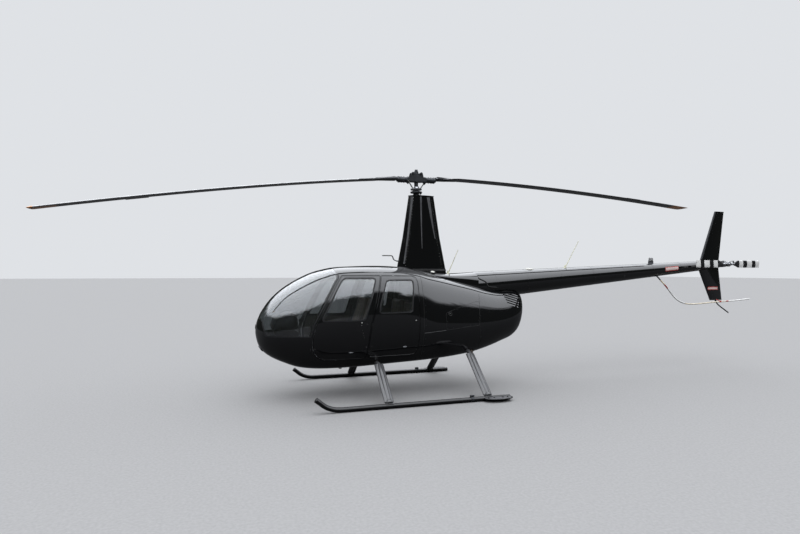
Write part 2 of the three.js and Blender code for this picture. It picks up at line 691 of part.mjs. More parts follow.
// Tail rotor guard and tail skid
const guardPath = [
  [-4467, 60, 1640], [-4586, 95, 1503], [-4805, 118, 1262], [-4961, 120, 1186], [-5141, 120, 1162],
  [-5700, 110, 1186], [-6196, 95, 1206], [-6560, 85, 1232],
];
const guardStay = rod([-5850, 8, 1224], [-5850, 112, 1192], 9, 9, 10);
const lowerFinGap = loft([
  foilRing(-5700, -5986, 26.6, upright(1213.7)), foilRing(-5405, -5905, 46.6, upright(1850)),
]);
const guardTube = bar(smoothed(guardPath, 3), 12, alongY, 10);
const guard = guardTube.add(guardStay).subtract(tailConeSolid(gap)).subtract(lowerFinGap);
addPiece('tail_rotor_guard', guard, guardWhite);
const tailSkid = bar(smoothed([[-5840, 0, 1240], [-5880, 0, 1150], [-6142, 0, 980]], 4), 11, alongY, 10);
addPiece('tail_skid', tailSkid.subtract(lowerFinGap), darkMetal);

// Tail rotor
const tailRotor = new THREE.Group();
tailRotor.position.copy(tailHub);
helicopter.add(tailRotor);
const tailHubSolid = join([
  rod([0, -128, 0], [0, 40, 0], 18),
  rod([0, -30, 0], [0, 22, 0], 45),
  rod([-130, 0, 0], [130, 0, 0], 22, 22, 12),
]);
addPiece('tail_rotor_hub', tailHubSolid, metal, tailRotor);
const tailBladeRing = (r, sign) => foilRing(
  -tailChord / 2, tailChord / 2, 15, (c, t) => new THREE.Vector3(sign * r, t, sign * c));
[['tail_blade_front', 1], ['tail_blade_rear', -1]].forEach(([name, sign]) => {
  const blade = loft([tailBladeRing(130 + gap, sign), tailBladeRing(tailRadius, sign)]);
  addPiece(name, blade, offWhite, tailRotor);
});

// Main rotor: a fixed mast tube with the lower swashplate, and the turning hub and blades
const tubeTop = 2950;
const shaftRadius = 24;
const fixedPlate = { foot: 2915, top: 2938, radius: 88 };
const strutFeet = [[60, 40], [-60, 40], [0, -72]];
const mastTube = join([
  rod([0, 0, pocketFloor + gap], [0, 0, tubeTop], 45, 45, 20),
  rod([0, 0, fixedPlate.foot], [0, 0, fixedPlate.top], fixedPlate.radius, fixedPlate.radius, 24),
  ...strutFeet.map(([x, y]) => rod([x, y, mastTop + gap], [x, y, fixedPlate.foot + 5], 9, 9, 8)),
]).subtract(rod([0, 0, mastTop - 12], [0, 0, tubeTop + 40], shaftRadius + 8, shaftRadius + 8, 16));
addPiece('mast_tube', mastTube, darkMetal);

const mainRotor = new THREE.Group();
mainRotor.position.z = hubZ;
helicopter.add(mainRotor);

// Hub: shaft, yoke, teeter cheeks with two bolts, cap, grips with their horns, and the pitch links
const gripEnd = 310;
const gripZ = -24;
const gripDrop = 4;
const bladeRoot = gripEnd + gap;
const cheekOutline = [[-98, 8], [-72, 86], [72, 86], [98, 8]];
const cheekSpan = [34, 50];
const yokeHalf = 52;
const yokeOutline = [
  [-150, -52], [-150, 2], [-90, 12], [90, 12], [150, 2], [150, -52], [70, -58], [-70, -58],
];
const swash = { z: -165, radius: 82, half: 12 };
const teeterBolt = { x: 66, z: 68, half: 64, radius: 15 };
const horn = { x: [130, 186], y: [20, 96], z: [-44, -18] };
const link = { foot: [70, 52], top: [156, 82], topZ: -30, radius: 8 };

// What each blade grip carries; sign is 1 ahead and -1 behind
function gripParts(sign) {
  const z = gripZ - sign * gripDrop;
  const hornBlock = box(...horn.x, ...horn.y, ...horn.z);
  return [
    rod([sign * 120, 0, z], [sign * gripEnd, 0, z], 44, 36, 16),
    rod([sign * 132, 0, gripZ - 66], [sign * 132, 0, gripZ], 22, 22, 12),
    sign > 0 ? hornBlock : hornBlock.mirror([1, 0, 0]).mirror([0, 1, 0]),
    rod([sign * link.foot[0], sign * link.foot[1], swash.z],
      [sign * link.top[0], sign * link.top[1], link.topZ], link.radius, link.radius, 10),
  ];
}
const hub = join([
  rod([0, 0, -262], [0, 0, 10], shaftRadius),
  rod([0, 0, swash.z - swash.half], [0, 0, swash.z + swash.half], swash.radius, swash.radius, 24),
  rod([0, 0, swash.z + swash.half - 2], [0, 0, swash.z + 42], 48, 36, 16),
  sidePrism(yokeOutline, -yokeHalf, yokeHalf),
  sidePrism(cheekOutline, ...cheekSpan),
  mirrored(sidePrism(cheekOutline, ...cheekSpan)),
  rod([0, 0, 10], [0, 0, 96], 40, 34, 20),
  rod([0, 0, 94], [0, 0, 130], 30, 22, 16),
  ...[1, -1].map((sign) => rod(
    [sign * teeterBolt.x, -teeterBolt.half, teeterBolt.z],
    [sign * teeterBolt.x, teeterBolt.half, teeterBolt.z], teeterBolt.radius, teeterBolt.radius, 12)),
  ...gripParts(1),
  ...gripParts(-1),
]);
addPiece('main_rotor_hub', hub, darkMetal, mainRotor);

const bladeStations = [bladeRoot, 520, 800, 1400, 2200, 3000, 3800, 4500, mainRadius];
function mainBlade(sign) {
  const rings = bladeStations.map((r) => {
    const chord = r < 500 ? 120 : mainChord;
    const thick = r < 500 ? 56 : mainThick;
    const drop = bladeDroop * (r / mainRadius) ** droopPower + sign * teeterSlope * r;
    const lead = r < 500 ? 60 : 75;
    return foilRing(lead, lead - chord, thick, (c, t) => new THREE.Vector3(sign * r, sign * c, t - drop));
  });
  return loft(rings);
}
addPiece('main_blade_front', mainBlade(1), bladeGrey, mainRotor);
addPiece('main_blade_rear', mainBlade(-1), bladeGrey, mainRotor);

// Antennas and strobe
const whips = [
  ['whip_antenna_front', [-519, 1703], [-686, 2066]],
  ['whip_antenna_rear', [-2615, 1800], [-2877, 2242]],
];
whips.forEach(([name, foot, tip]) => {
  const whip = join([
    rod([foot[0], 0, foot[1] - 40], [foot[0] - 12, 0, foot[1] + 30], 24, 12, 12),
    rod([foot[0] - 10, 0, foot[1] + 20], [tip[0], 0, tip[1]], 6, 4, 8),
  ]);
  addPiece(name, whip.subtract(spineSolid(gap)).subtract(coneGap), offWhite);
});
const strobe = rod([-4370, 0, 1840], [-4370, 0, 1984], 46, 36, 20).subtract(coneGap);
addPiece('strobe_light', strobe, darkMetal);

export default helicopter;
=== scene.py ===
import json
import math

import bmesh
import bpy
import numpy as np
from mathutils import Matrix, Vector
from mathutils.bvhtree import BVHTree
from mathutils.interpolate import poly_3d_calc


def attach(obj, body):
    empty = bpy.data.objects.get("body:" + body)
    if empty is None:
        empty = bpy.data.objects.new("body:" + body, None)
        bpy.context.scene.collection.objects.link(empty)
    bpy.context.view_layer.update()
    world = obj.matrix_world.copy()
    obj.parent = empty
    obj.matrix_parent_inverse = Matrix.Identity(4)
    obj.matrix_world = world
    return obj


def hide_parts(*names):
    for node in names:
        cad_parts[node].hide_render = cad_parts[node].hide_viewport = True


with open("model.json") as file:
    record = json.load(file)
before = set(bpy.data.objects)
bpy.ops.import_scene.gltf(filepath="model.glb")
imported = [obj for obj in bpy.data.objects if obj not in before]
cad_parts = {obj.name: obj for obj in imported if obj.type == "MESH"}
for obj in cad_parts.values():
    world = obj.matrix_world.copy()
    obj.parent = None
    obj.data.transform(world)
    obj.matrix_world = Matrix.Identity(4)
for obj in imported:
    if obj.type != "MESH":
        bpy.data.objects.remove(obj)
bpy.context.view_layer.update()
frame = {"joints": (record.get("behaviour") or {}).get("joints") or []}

# Light four-seat helicopter. Shapes are worked out in millimetres from the mast axis,
# X forward, Y left, Z up, and meshObject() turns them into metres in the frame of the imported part.
scene = bpy.context.scene
mm, fullTurn, far = 0.001, 2 * math.pi, 900
xAxis, yAxis, zAxis = (1, 0, 0), (0, 1, 0), (0, 0, 1)
minusX, minusY, minusZ = (-1, 0, 0), (0, -1, 0), (0, 0, -1)
joints = {j["name"]: j for j in frame["joints"]}
rotorJoint, tailJoint, fanJoint = (
    Vector(joints[name]["pos_m"]) for name in ("main_rotor_spin", "tail_rotor_spin", "cooling_fan_spin"))
mastX, hubZ = rotorJoint.x, rotorJoint.z / mm
fanX, fanZ = (fanJoint.x - mastX) / mm, fanJoint.z / mm
tailHub = np.array((tailJoint - Vector((mastX, 0, 0))) / mm)
mastShift = np.array([mastX / mm, 0, 0])


def unit(v):
    v = np.array(v, float)
    return v / np.linalg.norm(v)


# Points on a smooth curve; closed curves come back without the repeated first point
def curveThrough(points, perSpan, closed=False, before=None):
    p = np.array(points, float)
    if closed:
        p = np.vstack([p[-1:], p, p[:2]])
    else:
        first = 2 * p[0] - p[1] if before is None else np.array(before, float)
        p = np.vstack([first, p, 2 * p[-1] - p[-2]])
    out = []
    w = np.arange(perSpan)[:, None] / perSpan
    for k in range(1, len(p) - 2):
        p0, p1, p2, p3 = p[k - 1:k + 3]
        d0, d1, d2 = (max(np.linalg.norm(b - a) ** 0.5, 1e-4) for a, b in ((p0, p1), (p1, p2), (p2, p3)))
        t1 = ((p1 - p0) / d0 - (p2 - p0) / (d0 + d1) + (p2 - p1) / d1) * d1
        t2 = ((p2 - p1) / d1 - (p3 - p1) / (d1 + d2) + (p3 - p2) / d2) * d1
        out.append(p1 + t1 * w + (-3 * p1 + 3 * p2 - 2 * t1 - t2) * w**2 + (2 * p1 - 2 * p2 + t1 + t2) * w**3)
    return np.vstack(out if closed else [*out, p[-2]])


# Shapes: each is a pair of an array of points and a list of faces
def loft(rings, caps=True):
    rings = np.array(rings, float)
    rows, count = rings.shape[:2]
    faces = []
    for r in range(rows - 1):
        for i in range(count):
            a, b = r * count + i, r * count + (i + 1) % count
            faces.append((a, b, b + count, a + count))
    if caps:
        faces += [tuple(range(count - 1, -1, -1)), tuple(range((rows - 1) * count, rows * count))]
    return rings.reshape(-1, 3), faces


def prism(outline, y0, y1):  # a side outline of [x, z] points, run across
    return loft([[(x, y, z) for x, z in outline] for y in (y0, y1)])


def block(x0, x1, z0, z1):
    return prism([(x0, z0), (x1, z0), (x1, z1), (x0, z1)], -far, far)


def axes(direction):
    run = Vector(direction).normalized()
    side = run.orthogonal().normalized()
    return np.array(side), np.array(run.cross(side)), np.array(run)


def circle(radius, axis, turns):  # offsets from the centre of a circle about an axis
    u, v, _ = axes(axis)
    return [radius * (math.cos(a) * u + math.sin(a) * v) for a in turns]


def tube(path, radius, sides=12):
    path = np.array(path, float)
    runs = np.gradient(path, axis=0)
    runs /= np.linalg.norm(runs, axis=1)[:, None]
    side = axes(runs[0])[0]
    turn = np.arange(sides)[:, None] * fullTurn / sides
    rings = []
    for point, run, r in zip(path, runs, np.broadcast_to(radius, len(path))):
        side = unit(side - run * side.dot(run))
        rings.append(point + r * (np.cos(turn) * side + np.sin(turn) * np.cross(run, side)))
    return loft(rings)


def rod(a, b, radius, sides=16):
    return tube([a, b], radius, sides)


def lathed(profile, origin=(0, 0, 0), axis=zAxis, sides=32, caps=True):  # profile of (radius, way along the axis)
    u, v, run = axes(axis)
    turn = np.arange(sides)[:, None] * fullTurn / sides
    ring = np.cos(turn) * u + np.sin(turn) * v
    return loft([np.array(origin) + r * ring + along * run for r, along in profile], caps)


def washer(inner, outer, thick, origin, axis, sides):
    profile = [(inner, 0), (outer, 0), (outer, thick), (inner, thick), (inner, 0)]
    return lathed(profile, origin, axis, sides, False)


def roundBox(lo, hi, r, steps=3):
    lo, hi = np.minimum(lo, hi), np.maximum(lo, hi)
    r = min(r, *(0.49 * (hi - lo)))
    swing = [math.pi / 2 * k / steps for k in range(steps + 1)]
    levels = [(lo[2] + r - r * math.sin(a), r * math.cos(a)) for a in reversed(swing)]
    levels += [(hi[2] - r + r * math.sin(a), r * math.cos(a)) for a in swing]
    corners = [(hi[0] - r, hi[1] - r), (lo[0] + r, hi[1] - r), (lo[0] + r, lo[1] + r), (hi[0] - r, lo[1] + r)]
    return loft([[(x + reach * math.cos(a + k * math.pi / 2), y + reach * math.sin(a + k * math.pi / 2), z)
                  for k, (x, y) in enumerate(corners) for a in swing] for z, reach in levels])


def ball(centre, radii, rows=8, cols=16):
    profile = [(math.cos(a), math.sin(a)) for a in np.linspace(-math.pi / 2, math.pi / 2, rows + 1)]
    points, faces = lathed(profile, sides=cols)
    return points * np.array(radii) + np.array(centre), faces


def merge(parts):
    points, faces, count = [], [], 0
    for p, f in parts:
        points.append(p)
        faces += [tuple(i + count for i in face) for face in f]
        count += len(p)
    return np.vstack(points), faces


def bolt(origin, axis, size, length=0):  # washer, hexagon head, and a stub where it has a length
    head = [(0.8, 0.12), (0.86, 0.3), (0.86, 0.7), (0.7, 0.85)]
    parts = [lathed([(size, 0), (size, 0.12 * size)], origin, axis, 16),
             lathed([(r * size, along * size) for r, along in head], origin, axis, 6)]
    if length:
        parts.append(lathed([(0.4 * size, 0.8 * size), (0.4 * size, length)], origin, axis, 10))
    return merge(parts)


def mirrored(part):
    return part[0] * [1, -1, 1], [tuple(reversed(f)) for f in part[1]]


def stood(part, frameRows, place):  # a small part that stands on Z, turned to other axes
    return part[0] @ np.array(frameRows) + place, part[1]


def scattered(part, places, normals):
    return merge([stood(part, axes(normal), place) for place, normal in zip(places, normals)])


def rivetHead(radius, height):
    return lathed([(radius, -0.3), (radius * 0.85, height * 0.6), (radius * 0.35, height)], sides=8)


def outward(part):  # turns a closed part's faces the right way out
    p, faces = part
    volume = sum(np.dot(p[f[0]], np.cross(p[f[k]], p[f[k + 1]])) for f in faces for k in range(1, len(f) - 1))
    return (p, [tuple(reversed(f)) for f in faces]) if volume < 0 else part


def listed(parts):
    return parts if isinstance(parts, list) else [parts]


def meshObject(name, parts, checked=True):
    points, faces = merge([outward(p) if checked else p for p in listed(parts)])
    mesh = bpy.data.meshes.new(name)
    mesh.from_pydata((points * mm + [mastX, 0, 0]).tolist(), [], faces)
    obj = bpy.data.objects.new(name, mesh)
    scene.collection.objects.link(obj)
    return obj


def weld(obj):
    bm = bmesh.new()
    bm.from_mesh(obj.data)
    bmesh.ops.remove_doubles(bm, verts=bm.verts, dist=2e-6)
    bm.to_mesh(obj.data)
    bm.free()


def finished(obj, material, body="airframe", replaces=(), angle=38):
    if material.name not in obj.data.materials:
        obj.data.materials.append(material)
    if angle:
        obj.data.shade_smooth()
        obj.data.set_sharp_from_angle(angle=math.radians(angle))
    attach(obj, body)
    if replaces:
        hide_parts(*([replaces] if isinstance(replaces, str) else replaces))


def piece(name, parts, material, body="airframe", replaces=(), angle=38, checked=True):
    obj = meshObject(name, parts, checked)
    weld(obj)
    finished(obj, material, body, replaces, angle)


def pair(name, parts, material, bodies=("airframe", "airframe"), replaces=(None, None)):  # left, and right mirrored
    parts = listed(parts)
    for side, body, cadNode in zip(("left", "right"), bodies, replaces):
        piece(f"{name}_{side}", parts, material, body, cadNode or ())
        parts = [mirrored(outward(p)) for p in parts]


def settle(obj):  # applies the modifiers
    graph = bpy.context.evaluated_depsgraph_get()
    mesh = bpy.data.meshes.new_from_object(obj.evaluated_get(graph))
    obj.modifiers.clear()
    old, obj.data = obj.data, mesh
    bpy.data.meshes.remove(old)


def carve(obj, operation, *tools):
    for tool in tools:
        cutter = tool if isinstance(tool, bpy.types.Object) else meshObject("cutter", tool)
        change = obj.modifiers.new("cut", "BOOLEAN")
        change.operation, change.object, change.solver = operation, cutter, "MANIFOLD"
        settle(obj)
        if cutter is not tool:
            bpy.data.objects.remove(cutter)
    obj.data.materials.clear()
    return obj


def copied(obj, name):
    new = obj.copy()
    new.data = obj.data.copy()
    new.name = name
    scene.collection.objects.link(new)
    return new


def mirroredObject(obj, name):
    other = copied(obj, name)
    other.data.transform(Matrix.Scale(-1, 4, yAxis))
    other.data.flip_normals()
    return other


def offsetOutline(outline, distance):
    p = np.array(outline, float)
    d = np.roll(p, -1, axis=0) - p
    d /= np.linalg.norm(d, axis=1)[:, None]
    area = np.sum(p[:, 0] * np.roll(p[:, 1], -1) - np.roll(p[:, 0], -1) * p[:, 1])
    n = np.stack([d[:, 1], -d[:, 0]], axis=1) * (1 if area > 0 else -1)
    mean = n + np.roll(n, 1, axis=0)
    mean /= np.linalg.norm(mean, axis=1)[:, None]
    return p + mean * (distance / np.maximum(0.5, np.sum(mean * n, axis=1)))[:, None]


def rounded(outline, radius, steps=6):  # an outline with its corners turned to arcs
    p = np.array(outline, float)
    radii = np.broadcast_to(radius, len(p))
    out = []
    for k in range(len(p)):
        a, b = p[k - 1] - p[k], p[(k + 1) % len(p)] - p[k]
        reach = min(radii[k], 0.48 * np.linalg.norm(a), 0.48 * np.linalg.norm(b))
        start, end = p[k] + a / np.linalg.norm(a) * reach, p[k] + b / np.linalg.norm(b) * reach
        out += [(1 - t) ** 2 * start + 2 * t * (1 - t) * p[k] + t * t * end for t in np.linspace(0, 1, steps)]
    return np.array(out)


def resampled(points, spacing, closed=False):
    p = np.array(points, float)
    if closed:
        p = np.vstack([p, p[:1]])
    run = np.concatenate([[0], np.cumsum(np.linalg.norm(np.diff(p, axis=0), axis=1))])
    at = np.linspace(0, run[-1], max(2, int(round(run[-1] / spacing)) + 1))
    out = np.stack([np.interp(at, run, p[:, k]) for k in range(p.shape[1])], axis=1)
    return out[:-1] if closed else out


def ringOf(path):  # a closed run: the first point comes again at the end
    return np.vstack([path, path[:1]])


print("helpers ready")


# Materials
def newMaterial(name, slot, **values):
    mat = bpy.data.materials.new(name)
    mat.use_nodes = True
    mat["slot"] = slot
    shader = mat.node_tree.nodes["Principled BSDF"]
    for key, value in values.items():
        shader.inputs[key.replace("_", " ")].default_value = value
    return mat, shader


def node(mat, kind, values=None, out=0, **settings):
    n = mat.node_tree.nodes.new("ShaderNode" + kind)
    for key, value in settings.items():
        setattr(n, key, value)
    for key, value in (values or {}).items():
        if isinstance(value, bpy.types.NodeSocket):
            mat.node_tree.links.new(value, n.inputs[key])
        else:
            n.inputs[key].default_value = value
    return n.outputs[out]


def feed(mat, socket, source):
    mat.node_tree.links.new(source, socket)


def math2(mat, operation, a, b=0.5):
    return node(mat, "Math", {0: a, 1: b}, operation=operation)


def vector2(mat, operation, a, b):
    return node(mat, "VectorMath", {0: a, 1: b}, operation=operation)


def objectPoint(mat):
    return node(mat, "TexCoord", out="Object")


def grain(mat, scale, detail=3, roughness=0.5):
    return node(mat, "TexNoise",
                {"Vector": objectPoint(mat), "Scale": scale, "Detail": detail, "Roughness": roughness})


def wave(mat, where, scale, direction, **values):
    return node(mat, "TexWave", {"Vector": where, "Scale": scale, **values}, bands_direction=direction)


def ranged(mat, value, low, high, start=0.0, end=1.0):
    return node(mat, "MapRange", {"Value": value, "From Min": start, "From Max": end, "To Min": low, "To Max": high})


def mixed(mat, factor, a, b):
    return node(mat, "Mix", {"Factor": factor, 6: a, 7: b}, out=2, data_type="RGBA")


def coloured(mat, shader, factor, a, b):  # base colour between two tones
    feed(mat, shader.inputs["Base Color"], mixed(mat, factor, (*a, 1), (*b, 1)))


def bumped(mat, shader, height, strength, distance):
    bump = node(mat, "Bump", {"Height": height, "Strength": strength, "Distance": distance})
    feed(mat, shader.inputs["Normal"], bump)


def speckled(name, slot, scale, detail, a, b, **values):
    mat, shader = newMaterial(name, slot, **values)
    coloured(mat, shader, grain(mat, scale, detail), a, b)
    return mat, shader


def glossPaint(name, slot, colour, dusty, coat=1.0, rough=(0.05, 0.11)):
    mat, shader = newMaterial(name, slot, Coat_Weight=coat, Coat_Roughness=0.025, Coat_IOR=1.52, IOR=1.5)
    height = node(mat, "SeparateXYZ", {"Vector": objectPoint(mat)}, out="Z")
    specks = grain(mat, 7, 8, 0.7)
    low = ranged(mat, height, 0.35, 0.0, 0.4, 0.9)
    film = math2(mat, "MULTIPLY", ranged(mat, specks, 0.0, 1.0, 0.42, 0.8), low)
    coloured(mat, shader, film, colour, dusty)
    feed(mat, shader.inputs["Roughness"], ranged(mat, specks, *rough, 0.3, 0.75))
    bumped(mat, shader, grain(mat, 160, 2), 0.05, 0.0006)
    return mat


def metalFinish(name, slot, colour, roughness, metallic, bump=0.12, scale=60):
    mat, shader = newMaterial(name, slot, Metallic=metallic)
    tone = ranged(mat, grain(mat, 9, 6, 0.65), 0, 1, 0.3, 0.7)
    coloured(mat, shader, tone, [c * 0.7 for c in colour], [c * 1.15 for c in colour])
    feed(mat, shader.inputs["Roughness"], ranged(mat, grain(mat, 30, 4), roughness * 0.75, roughness * 1.3, 0.3, 0.7))
    bumped(mat, shader, grain(mat, scale, 4), bump, 0.0008)
    return mat


def banded(name, slot, base, bands, measure, rough=0.32, metallic=0.0):  # colours change at measured distances
    mat, shader = newMaterial(name, slot, Metallic=metallic, Coat_Weight=0.35, Coat_Roughness=0.12)
    colour = (*base, 1)
    grime = grain(mat, 14, 7, 0.7)
    distance, blur = measure(mat), 0.0015
    for edge, tone in bands:
        colour = mixed(mat, ranged(mat, distance, 0, 1, edge * mm - blur, edge * mm + blur), colour, (*tone, 1))
    feed(mat, shader.inputs["Base Color"], vector2(mat, "MULTIPLY", colour, ranged(mat, grime, 0.72, 1.08, 0.3, 0.75)))
    feed(mat, shader.inputs["Roughness"], ranged(mat, grime, rough * 0.7, rough * 1.4, 0.3, 0.7))
    bumped(mat, shader, grain(mat, 120, 3), 0.06, 0.0005)
    return mat


def radiusFrom(point, keep):  # distance from a point, over the kept axes
    def measure(mat):
        flat = vector2(mat, "MULTIPLY", vector2(mat, "SUBTRACT", objectPoint(mat), point), keep)
        return node(mat, "VectorMath", {0: flat}, out="Value", operation="LENGTH")
    return measure


def leatherFinish(name, light, dark):
    mat, shader = newMaterial(name, "leather", IOR=1.45, Coat_Weight=0.08, Coat_Roughness=0.3)
    coloured(mat, shader, ranged(mat, grain(mat, 5, 6, 0.6), 0, 1, 0.3, 0.7), dark, light)
    cells = node(mat, "TexVoronoi", {"Vector": objectPoint(mat), "Scale": 360.0}, feature="DISTANCE_TO_EDGE")
    creases = grain(mat, 24, 6, 0.7)
    feed(mat, shader.inputs["Roughness"], ranged(mat, cells, 0.66, 0.4, 0, 0.35))
    bumped(mat, shader, math2(mat, "ADD", ranged(mat, cells, 0, 0.35, 0, 0.5), creases), 0.3, 0.0015)
    return mat


def carpetFinish(name, light, dark):
    mat, shader = newMaterial(name, "carpet", Roughness=0.98, Sheen_Weight=0.4, Sheen_Roughness=0.5)
    pile = grain(mat, 700, 4, 0.8)
    coloured(mat, shader, ranged(mat, pile, 0, 1, 0.35, 0.65), dark, light)
    bumped(mat, shader, pile, 0.9, 0.004)
    return mat


def webFinish(name, colour):
    mat, shader = newMaterial(name, "panel_grey", Roughness=0.75, Sheen_Weight=0.2)
    rows = wave(mat, objectPoint(mat), 180.0, "DIAGONAL", Distortion=0.6)
    coloured(mat, shader, rows, [c * 0.55 for c in colour], colour)
    bumped(mat, shader, rows, 0.6, 0.001)
    return mat


def quiltFinish(name, light, dark):
    mat, shader = newMaterial(name, "panel_grey", Roughness=0.85, Sheen_Weight=0.15)
    where = objectPoint(mat)
    lines = [wave(mat, node(mat, "Mapping", {"Vector": where, "Rotation": (turn, 0, 0)}), 5.2, "Y")
             for turn in (0.785, -0.785)]
    puffs = math2(mat, "MINIMUM", *lines)
    # The colour goes dark in the stitched creases between the puffs: painted shade
    coloured(mat, shader, ranged(mat, puffs, 0, 1, 0, 0.25), dark, light)
    bumped(mat, shader, math2(mat, "ADD", puffs, ranged(mat, grain(mat, 300, 3), 0, 0.2)), 0.8, 0.006)
    return mat


blackPaint = glossPaint("glossBlackPaint", "black_paint", (0.003, 0.0031, 0.0038), (0.02, 0.019, 0.017))
# The leg fairings are black paint; their raised grey base colour is a painted reflection of the sky
legPaintedSheen = glossPaint("sheenLegBlack", "black_paint", (0.07, 0.07, 0.073), (0.115, 0.112, 0.103), 0.6, (0.2, 0.3))
gearPaint = glossPaint("satinGearBlack", "black_paint", (0.003, 0.003, 0.0035), (0.014, 0.013, 0.012), 0.35, (0.2, 0.3))
metalRows = {  # slot, colour, roughness, metallic, bump and its scale
    "brushedAluminium": ("bare_metal", (0.5, 0.51, 0.53), 0.32, 1.0),
    "darkGearMetal": ("dark_metal", (0.05, 0.053, 0.058), 0.42, 0.55),
    "platedSteel": ("bare_metal", (0.42, 0.42, 0.4), 0.25, 1.0),
    "satinEdgeSteel": ("bare_metal", (0.5, 0.5, 0.5), 0.38, 1.0, 0.1, 160),
    "heatedExhaustSteel": ("bare_metal", (0.24, 0.2, 0.17), 0.5, 0.9, 0.3, 25),
    "castEngineMetal": ("dark_metal", (0.09, 0.09, 0.095), 0.6, 0.6, 0.6, 35),
    "ivoryPaint": ("off_white", (0.88, 0.87, 0.8), 0.35, 0.0, 0.05),
    "whipIvory": ("off_white", (0.78, 0.76, 0.56), 0.4, 0.0, 0.05),
    "redPlate": ("off_white", (0.5, 0.05, 0.04), 0.4, 0.0, 0.08),
    "palePlate": ("off_white", (0.78, 0.62, 0.58), 0.4, 0.0, 0.08),
    "wornPlateGrey": ("blade_grey", (0.13, 0.13, 0.135), 0.45, 0.1, 0.3, 70),
    "satinBlackEdge": ("blade_grey", (0.05, 0.052, 0.056), 0.34, 0.0, 0.1, 120),
    # This satin grey is a painted reflection of the sky, laid as strips on the black mast fairing
    "satinGreyStrip": ("blade_grey", (0.1, 0.1, 0.104), 0.3, 0.0, 0.1, 120),
    "mouldedDarkGrey": ("panel_grey", (0.03, 0.03, 0.033), 0.62, 0.0, 0.35, 420),
    "greyLiner": ("panel_grey", (0.075, 0.075, 0.08), 0.85, 0.0, 0.5, 700),
    "blackRubber": ("panel_grey", (0.012, 0.012, 0.012), 0.7, 0.0, 0.3, 200),
    "sealBlack": ("panel_grey", (0.009, 0.009, 0.01), 0.5, 0.0, 0.2, 240),
}
finishes = {name: metalFinish(name, *row) for name, row in metalRows.items()}
(bareMetal, darkMetal, steelBright, edgeSteel, hotMetal, castMetal, whitePaint, whipIvory, plateRed, platePale,
 platePaint, satinBlack, paintedSheenGrey, panelGrey, liner, rubber, sealBlack) = finishes.values()

glass, glassShader = newMaterial(
    "tintedAcrylic", "clear_glass", Roughness=0.0, IOR=1.49, Transmission_Weight=1.0, Coat_Weight=1.0,
    Coat_IOR=1.62, Coat_Roughness=0.01)
coloured(glass, glassShader, ranged(glass, grain(glass, 2.5, 5), 0, 1, 0.35, 0.7),
         (0.74, 0.78, 0.8), (0.82, 0.85, 0.86))
bumped(glass, glassShader, grain(glass, 1.4, 1), 0.008, 0.002)
lens, lensShader = speckled("clearRibbedLens", "clear_glass", 50, 3, (0.9, 0.9, 0.88), (0.75, 0.76, 0.78),
                            Roughness=0.08, Transmission_Weight=0.85, IOR=1.45)
bumped(lens, lensShader, wave(lens, objectPoint(lens), 90.0, "Z"), 0.4, 0.001)

white, black, red, cream = (0.95, 0.94, 0.91), (0.008, 0.008, 0.009), (0.5, 0.05, 0.04), (0.9, 0.8, 0.66)
rotorPaint = banded("satinRotorPaint", "blade_grey", (0.045, 0.047, 0.052), [(4720, (1.0, 0.46, 0.16))],
                    radiusFrom((mastX, 0, 0), (1, 1, 0)), 0.38, 0.15)
stripePaint = banded("stripedTailBladePaint", "off_white", (0.02, 0.02, 0.022), [
    (255, white), (350, black), (440, white), (560, black), (645, white),
], radiusFrom(tuple(tailJoint), (1, 0, 1)), 0.35)
guardPaint = banded("guardPaint", "off_white", (0.03, 0.03, 0.032), [
    (62, (0.85, 0.72, 0.5)), (168, red), (262, white), (700, (0.9, 0.8, 0.62)), (1405, red), (1450, cream),
    (1560, red), (1625, white),
], radiusFrom((mastX - 4.467, 0, 1.64), (1, 0, 1)), 0.35)

seatLeather = leatherFinish("stitchedSeatLeather", (0.13, 0.105, 0.085), (0.085, 0.068, 0.055))
pipingLeather = leatherFinish("seatPipingLeather", (0.05, 0.042, 0.036), (0.032, 0.027, 0.023))
doorTrim = leatherFinish("doorCardVinyl", (0.1, 0.095, 0.09), (0.07, 0.066, 0.062))
floorCarpet = carpetFinish("charcoalCarpet", (0.05, 0.05, 0.056), (0.022, 0.022, 0.025))
beltWebbing = webFinish("beltWebbing", (0.06, 0.06, 0.065))
firewallQuilt = quiltFinish("quiltedFirewallLining", (0.07, 0.07, 0.075), (0.03, 0.03, 0.032))
buttonRed = speckled("releaseButtonRed", "panel_grey", 80, 4, (0.42, 0.02, 0.015), (0.3, 0.012, 0.01), Roughness=0.4)[0]
dialBlack = speckled("dialFaceBlack", "panel_grey", 120, 3, (0.008, 0.008, 0.009), (0.014, 0.014, 0.015),
                     Roughness=0.35, Coat_Weight=1.0, Coat_Roughness=0.02)[0]
print("materials ready")

